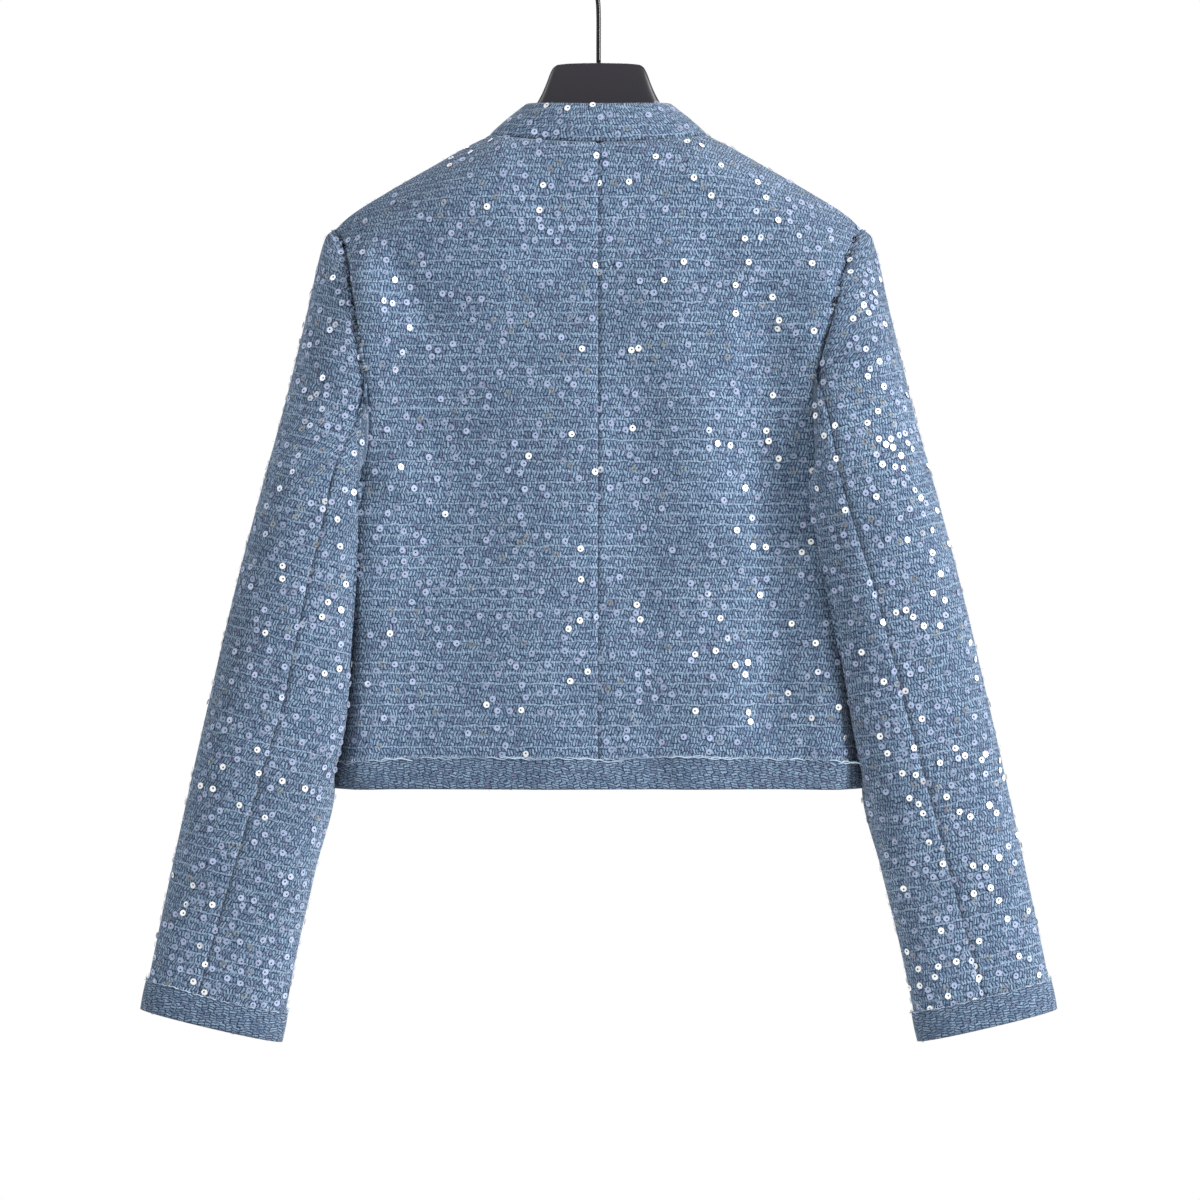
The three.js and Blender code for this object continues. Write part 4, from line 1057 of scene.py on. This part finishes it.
block = (x / (pitch * 3.0)).maths("FLOOR")
row = y / rows + block.bounce(1.0) * 0.5
odd = row.maths("FLOOR").bounce(1.0)
in_row = row.maths("FRACT")
lean = (in_row - 0.5) * lean_by * (odd * 1.5 - 0.5)
column = (x + lean) / pitch + odd * 0.5
stroke = column.bounce(0.5).between(0.08, 0.36) * in_row.bounce(0.5).between(0.02, 0.14)
stroke = stroke * noise(weave, place, FINE, 3.0).between(0.12, 0.56)

level = y / spacing
dash = x / THREAD_DASH + random_at(level) * 9.0
thread = level.bounce(0.5).between(0.39, 0.46) * dash.bounce(0.5).between(0.03, 0.12)
thread = thread * noise(weave, place, 0.035).between(0.3, 0.6) * threads

pick = random_at(column, row)
ground = blend(weave, noise(weave, place, 0.5).between(0.38, 0.74), DARK_YARN, MID_YARN)
yarn = blend(weave, pick.between(-0.35, 1.15), MID_YARN, LIGHT_YARN)
yarn = blend(weave, pick.between(0.12, 0.06), yarn, GREY_YARN)
colour = blend(weave, thread, blend(weave, stroke, ground, yarn), LIGHT_YARN)
tone = noise(weave, place, BROAD, 4.0).between(0.0, 1.0, 0.68, 1.22, "LINEAR") * shade
tone = add_node(weave, "ShaderNodeCombineXYZ", {"X": tone, "Y": tone, "Z": tone}).outputs[0]
height = stroke + thread * 1.4 + noise(weave, place, 1.4, 3.0) * 0.5
add_node(weave, "NodeGroupOutput", {
    "Color": blend(weave, 1.0, colour, tone, "MULTIPLY"), "Height": height})
print("nodes in the weave group:", len(weave.nodes))

# %% [markdown]
# ## Materials
# Cloth is rough, with a soft sheen from its raised fibres. Sequins are pale film: most let some of the
# cloth show through. Some are painted white as a painted highlight for the key light's flash, more in
# some patches and towards the key light's side. Each hole's knot is painted darker than its thread, as
# painted shade. The hanger is satin black plastic, its hook black enamelled wire.

# %% Make the materials
def material(name, **values):
    paint = bpy.data.materials.new(name)
    paint.use_nodes = True
    shader = paint.node_tree.nodes["Principled BSDF"]
    for key, value in values.items():
        shader.inputs[key.replace("_", " ")].default_value = value
    return paint, paint.node_tree, shader


def cloth_material(name, turned=False, **values):
    paint, tree, shader = material(name, Roughness=0.86, Sheen_Weight=0.22, Sheen_Roughness=0.45,
                                   Specular_IOR_Level=0.18)
    place = add_node(tree, "ShaderNodeUVMap", uv_map="UVMap").outputs[0]
    if turned:
        parts = add_node(tree, "ShaderNodeSeparateXYZ", {0: place}).outputs
        place = add_node(tree, "ShaderNodeCombineXYZ", {"X": parts[1], "Y": parts[0]}).outputs[0]
    drawn = add_node(tree, "ShaderNodeGroup", node_tree=weave)
    tree.links.new(place, drawn.inputs["Place"])
    for key, value in values.items():
        drawn.inputs[key].default_value = value
    bump = add_node(tree, "ShaderNodeBump", {
        "Height": drawn.outputs["Height"], "Distance": 0.0007, "Strength": 0.8})
    tree.links.new(drawn.outputs["Color"], shader.inputs["Base Color"])
    tree.links.new(bump.outputs[0], shader.inputs["Normal"])
    return paint


boucle = cloth_material("Boucle")
trim = cloth_material("Boucle across the grain", True, Pitch=2.0, Rows=5.2, Lean=1.2, Threads=0.2,
                      Shade=0.88)


def stored(tree, name):
    return Value(add_node(tree, "ShaderNodeAttribute", attribute_name=name).outputs["Fac"])


def object_place(tree):
    return add_node(tree, "ShaderNodeTexCoord").outputs["Object"]


def two_tone(name, low, high, speckle=None, relief=None, **values):
    """A paint between two colours: by each copy's random number, or by noise of a given scale."""
    paint, tree, shader = material(name, **values)
    share = noise(tree, object_place(tree), speckle) if speckle else stored(tree, "chance")
    tree.links.new(blend(tree, share, (*low, 1), (*high, 1)), shader.inputs["Base Color"])
    if relief:
        bump = add_node(tree, "ShaderNodeBump", {"Height": share, "Distance": relief})
        tree.links.new(bump.outputs[0], shader.inputs["Normal"])
    return paint


FILM_WARM, FILM_BLUE = (0.36, 0.37, 0.31, 1), (0.44, 0.52, 0.76, 1)
# The knot's near-black colour is partly the thread's own and partly painted shade in the hole.
PAINTED_FLASH_WHITE, KNOT_AND_HOLE_SHADE = (0.93, 0.94, 0.93, 1), (0.02, 0.03, 0.06, 1)
sequin_film, tree, shader = material("Sequin film", Roughness=0.34, IOR=1.8, Coat_Weight=1.0,
                                     Coat_Roughness=0.3, Coat_IOR=1.7)
chance, hole, where = stored(tree, "chance"), stored(tree, "hole"), object_place(tree)
film = blend(tree, chance.between(0.06, 0.2), FILM_WARM, FILM_BLUE)
across = Value(add_node(tree, "ShaderNodeSeparateXYZ", {0: where}).outputs[0])
# Painted highlight: some sequins are painted white for the key light's flash, more towards its side (-X)
# and in noise patches.
lit_side = across.between(0.25, -0.27, -0.05, 0.14, "LINEAR")
painted_flash_chance = chance + (noise(tree, where, 11.0, 1.0) - 0.5) * 0.65 + lit_side
white = painted_flash_chance.between(0.94, 0.96)
film = blend(tree, hole, blend(tree, white, film, PAINTED_FLASH_WHITE), KNOT_AND_HOLE_SHADE)
cover = chance.between(0.0, 0.95, 0.25, 0.85, "LINEAR").maths("MAXIMUM", white)
cover = cover.maths("MAXIMUM", hole * 0.8)
for name, value in (("Base Color", film), ("Alpha", cover.socket),
                    ("Roughness", hole.maths("MULTIPLY_ADD", 0.6, 0.3).socket),
                    ("Coat Weight", (hole * -1.0 + 1.0).socket)):
    tree.links.new(value, shader.inputs[name])

fibre_paint = two_tone("Yarn fibre", (0.12, 0.18, 0.30), (0.46, 0.57, 0.70), Roughness=0.9)
frayed_paint = two_tone("Frayed thread", (0.24, 0.33, 0.46), (0.52, 0.64, 0.76), Roughness=0.85)
sewing_thread = two_tone("Sewing thread", (0.045, 0.068, 0.125), (0.11, 0.16, 0.26), 700.0,
                         Roughness=0.8)
plastic = two_tone("Hanger plastic", (0.014, 0.0125, 0.017), (0.023, 0.021, 0.028), 900.0, 0.00004,
                   Roughness=0.42)
enamel = two_tone("Hook enamel", (0.012, 0.012, 0.014), (0.03, 0.03, 0.034), 300.0,
                  Roughness=0.25, Metallic=0.6)
print("materials:", len(bpy.data.materials))

# %% [markdown]
# ## Sequins and loose fibres
# A sequin is a flat disc 5 mm wide. Its hole is a little aside of the middle, and the knot of its
# thread shows dark in it, painted darker than the thread as painted shade in the hole. Sleeves carry
# about twice as many as the body. Fibres are short bent hairs, each a thin tube of three sides, that
# soften the outline of the cloth.

# %% Scatter them
def shape_object(name, vertices, faces):
    item = add_object(name, new_mesh(name, vertices, faces))
    item.hide_render = True
    return item


def disc_shape(name, hole, radius, aside, sides, knot_sides=5):
    """A flat disc that looks up, its hole aside of its middle, with the thread's knot in the hole."""
    rings = ((hole, aside, 0, sides), (radius, 0, 0, sides), (hole, aside, -0.1, knot_sides))
    vertices = [(middle + size * math.cos(t), size * math.sin(t), z)
                for size, middle, z, count in rings for t in circle(count)]
    faces = [(i, sides + i, sides + (i + 1) % sides, (i + 1) % sides) for i in range(sides)]
    item = shape_object(name, vertices, faces + [tuple(2 * sides + i for i in range(knot_sides))])
    mark = item.data.attributes.new("hole", "FLOAT", "POINT")
    mark.data.foreach_set("value", [0.0] * (2 * sides) + [1.0] * knot_sides)
    return item


def hair_shape(name, length, rise, radius, sides=3, parts=3, wave=0.0):
    """A thin bent tube that starts at the origin and runs along X, up and down again."""
    vertices = []
    for k in range(parts + 1):
        t = k / parts
        y, z = wave * math.sin(6.3 * t * 1.5), rise * math.sin(math.pi * min(t * 1.15, 1))
        thick = radius * (1 - 0.6 * t)
        vertices += [(length * t, y + thick * math.cos(a), z + thick * math.sin(a))
                     for a in np.arange(sides) * 2 * math.pi / sides]
    faces = [(k * sides + (i + 1) % sides, k * sides + i, k * sides + sides + i,
              k * sides + sides + (i + 1) % sides) for k in range(parts) for i in range(sides)]
    faces += [tuple(range(sides)), tuple(parts * sides + i for i in reversed(range(sides)))]
    return shape_object(name, vertices, faces)


sequin = disc_shape("sequin_shape", hole=0.78, radius=2.55, aside=0.55, sides=10)
hair = hair_shape("hair_shape", 3.6, 1.3, 0.13)
SEQUIN_DENSITY = {"back": 5760.0, "front": 5760.0, "sleeve": 12160.0, "collar": 6720.0}
SEQUINS = {"Shape": sequin, "Spacing": 0.0056, "Lift": 0.0009, "Tilt": 0.2, "Smallest": 0.92,
           "Material": sequin_film}
FIBRES = {"Shape": hair, "Spacing": 0.0, "Density": 9000.0, "Lift": 0.0, "Tilt": 0.8, "Smallest": 0.4,
          "Material": fibre_paint}
extras = {}


def on_sheet(name, node, values, seed):
    """Small things scattered over the outside of a piece of cloth."""
    merged, polygons, _, _ = surface(*outer_sheets[node])
    base = new_mesh(node, merged, polygons)
    extras[node].append(run_tree(f"{name}_{node}", base, scatter, {**values, "Seed": seed}))


for seed, node in enumerate(outer_sheets):
    kind = node.split("_")[0]
    extras[node] = []
    if kind in SEQUIN_DENSITY:
        on_sheet("sequins", node, {**SEQUINS, "Density": SEQUIN_DENSITY[kind]}, 40 + seed)
    if kind not in ("hem", "cuff"):
        on_sheet("fibres", node, FIBRES, 80 + seed)
count = {item.name: len(item.data.polygons) for items in extras.values() for item in items}
print("faces of sequins and fibres:", count)

# %% [markdown]
# ## Seams down the back and round the armholes
# The two backs are sewn with a dark blue thread, and so are the sleeves to the body. It lies deep in the
# seam, and no light comes through between the pieces. Each is a tube along the edge points of a panel.

# %% Sew the seams
SEAM_DEPTH, STITCH_RADIUS = 2.2, 0.42
ARMHOLE_DEPTH, ARMHOLE_STITCH = 1.0, 0.7
SEWN_ROWS = slice(len(SIDE) + 14, -4)


def sew(node, name, path, radius, axis, sides=6):
    """A tube of thread along a path, which never runs along the given axis."""
    way = unit(np.gradient(path, axis=0))
    across_way = unit(np.cross(way, axis))
    turn = circle(sides)[:, None]
    round_ = np.cos(turn) * np.array(axis) + np.sin(turn) * across_way[:, None]
    thread = tube(name, path[:, None] + radius * round_)
    thread.data.materials.append(sewing_thread)
    extras[node].append(thread)


middle_line = panels[LEFT, BACK][:, 0] * [0, 1, 1] - [0, SEAM_DEPTH, 0]
sew("back_left", "centre_back_sewing", middle_line[1:-1], STITCH_RADIUS, [1.0, 0, 0])
for (side, face), grid in panels.items():
    node = panel_node(side, face)
    inward = -grid_normals(grid, np.array([0, face, 0.0]))
    seam_line = (grid + ARMHOLE_DEPTH * inward)[SEWN_ROWS, -1]
    sew(node, f"armhole_sewing_{node}", seam_line, ARMHOLE_STITCH, [0, 1.0, 0])
print("points along a seam:", len(middle_line), len(seam_line))

# %% [markdown]
# ## Frayed edges
# The strips of the trim are cut and left raw, so their top edge sheds threads. Some lie along the edge,
# wavy and half loose, and many short cut ends stand up from it. A second tree sets them at even steps
# along the edge. It turns each one out from the cloth by a vector stored on the edge's points.

# %% Thread tree and the threads
def named(name):
    """A vector stored on the points."""
    return add_node(fray, "GeometryNodeInputNamedAttribute", {"Name": name},
                    data_type="FLOAT_VECTOR").outputs[0]


fray, given = new_tree("Frayed edge", Step="Float", Swing="Vector", Lean="Vector")
line = add_node(fray, "GeometryNodeMeshToCurve", {"Mesh": given["Geometry"]})
steps = add_node(fray, "GeometryNodeResampleCurve", {"Curve": line.outputs[0], "Length": given["Step"]},
                 mode="LENGTH")
tangent = add_node(fray, "GeometryNodeInputTangent").outputs[0]
kept = add_node(fray, "GeometryNodeStoreNamedAttribute", {
    "Geometry": steps.outputs[0], "Name": "along", "Value": tangent,
}, data_type="FLOAT_VECTOR", domain="POINT")
dots = add_node(fray, "GeometryNodeCurveToPoints", {"Curve": kept.outputs[0]}, mode="EVALUATED")
facing = add_node(fray, "FunctionNodeAlignRotationToVector", {"Vector": named("out")}, axis="Z")
facing = add_node(fray, "FunctionNodeAlignRotationToVector", {
    "Rotation": facing.outputs[0], "Vector": named("along")}, axis="X", pivot_axis="Z")
turns = random_turns(fray, given["Swing"], given["Seed"])
turns = add_node(fray, "ShaderNodeVectorMath", {0: turns, 1: given["Lean"]}, operation="ADD")
copies = turned_copies(fray, given, dots.outputs[0], facing.outputs[0], turns.outputs[0])
finish_tree(fray, given, copies)

loose = hair_shape("loose_thread_shape", 26, 0.9, 0.52, sides=4, parts=10, wave=0.8)
short_loose = hair_shape("short_thread_shape", 9, 0.5, 0.48, sides=4, parts=5, wave=0.4)
cut_end = hair_shape("cut_end_shape", 3.0, 0.6, 0.26, sides=3, parts=2)
LOOSE = {"Step": 0.010, "Swing": (0.1, 0.03, 0.06), "Lean": (0.0, 0.0, 0.0), "Smallest": 0.5}
CUT_ENDS = {"Shape": cut_end, "Step": 0.0013, "Swing": (0.3, 0.35, 0.6), "Smallest": 0.3}


def on_edge(name, node, line, out, values, seed):
    """Threads along a trim's raw edge, each turned by the way out that its points hold."""
    base = new_mesh(name, line, [], [(i, i + 1) for i in range(len(line) - 1)])
    out = out.ravel().astype(np.float32)
    base.attributes.new("out", "FLOAT_VECTOR", "POINT").data.foreach_set("vector", out)
    values = {**values, "Seed": seed, "Material": frayed_paint}
    extras[node].append(run_tree(f"{name}_{node}", base, fray, values))


for seed, (node, (edge, out)) in enumerate(trim_edges.items()):
    line = edge + out * (SEAM + TRIM_CLOTH + 0.1)
    upward = 1 if np.cross(out[5], unit(line[6] - line[5]))[2] > 0 else -1
    shape = short_loose if node.startswith("cuff") else loose
    on_edge("loose_threads", node, line, out, {**LOOSE, "Shape": shape}, 120 + seed)
    lean = (0.0, 0.0, upward * math.pi / 2)
    on_edge("cut_ends", node, line, out, {**CUT_ENDS, "Lean": lean}, 160 + seed)
for item in (sequin, hair, loose, short_loose, cut_end):
    bpy.data.objects.remove(item)
print("threads:", {item.name: len(item.data.polygons) for n in trim_edges for item in extras[n]})

# %% [markdown]
# ## Tie the pieces to the frame
# Every piece rides on the one rigid body and stands for its solid, which is hidden, and is given its
# material here. The size of each cloth's flat cut, measured on the grids above, is worked out but not
# used.

# %% Ride and replace
for node, piece in pieces.items():
    is_trim = "trim" in node
    piece.data.materials.append(trim if is_trim else boucle)
    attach(piece, "root")
    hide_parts(node)
    for extra in extras[node]:
        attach(extra, "root")
for piece, node, paint, slot in ((hanger, "hanger", plastic, "hanger_plastic"),
                                 (hook, "hook", enamel, "hook_metal")):
    piece.data.materials.append(paint)
    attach(piece, "root")
    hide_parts(node)
for node, piece in pieces.items():
    width, length, area = flats[node]
    round(min(area, width * length), 4)
print("sheets:", len(pieces))

# %% [markdown]
# ## Floor, light and camera
# The photo is a product shot on white. Its main light stands at the picture's right, and the sequins
# of that side catch it; more of them there are also painted white, as painted highlights. A weaker one
# fills in from the left, and one behind lights the edges. The floor is pale and lies below the sleeves,
# out of the picture. The camera stands well back, so that its view is almost parallel, as in the photo.

# %% Stage
FLOOR_Z, FLOOR_RADIUS = -1.2, 1.1
ring = circle(96)
around = np.stack([FLOOR_RADIUS * np.cos(ring), FLOOR_RADIUS * np.sin(ring), 0 * ring + FLOOR_Z], -1)
floor = add_object("floor", new_mesh("floor", around / MM, [list(range(len(ring)))]))
floor.data.materials.append(
    two_tone("Pale floor", (0.80, 0.80, 0.80), (0.84, 0.84, 0.84), 6.0, Roughness=0.7))


def soft_light(name, place, aim, width, height, power):
    light = bpy.data.lights.new(name, "AREA")
    light.shape, light.size, light.size_y, light.energy = "RECTANGLE", width, height, power
    item = add_object(name, light)
    item.location = place
    way = mathutils.Vector(aim) - mathutils.Vector(place)
    item.rotation_euler = way.to_track_quat("-Z", "Y").to_euler()


soft_light("key", (-2.8, 1.6, 0.5), (0, 0, -0.45), 0.8, 1.3, 188)
soft_light("fill", (2.4, 1.1, 1.2), (0, 0, -0.45), 1.2, 1.6, 54)
soft_light("rim", (0.5, -2.2, 1.2), (0, 0, -0.4), 1.5, 1.0, 20)

world = bpy.data.worlds.new("white")
bpy.context.scene.world = world
world.use_nodes = True
tree = world.node_tree
shown = tree.nodes["Background"]
shown.inputs["Color"].default_value, shown.inputs["Strength"].default_value = (1, 1, 1, 1), 1.0
fill = add_node(tree, "ShaderNodeBackground", {"Color": (0.97, 0.98, 1, 1), "Strength": 0.36})
seen = add_node(tree, "ShaderNodeLightPath").outputs["Is Camera Ray"]
either = add_node(tree, "ShaderNodeMixShader", {0: seen, 1: fill.outputs[0], 2: shown.outputs[0]})
tree.links.new(either.outputs[0], tree.nodes["World Output"].inputs["Surface"])

CAMERA_AWAY, PICTURE_WIDTH = 3.6, 0.918
camera = bpy.data.cameras.new("camera")
camera.lens = camera.sensor_width * CAMERA_AWAY / PICTURE_WIDTH
viewer = add_object("camera", camera)
viewer.location = (-0.0011, CAMERA_AWAY, -0.5208)
viewer.rotation_euler = (math.pi / 2, 0, math.pi)
bpy.context.scene.camera = viewer
bpy.context.scene.view_settings.view_transform = "Standard"
print("lens:", round(camera.lens, 1), "mm")
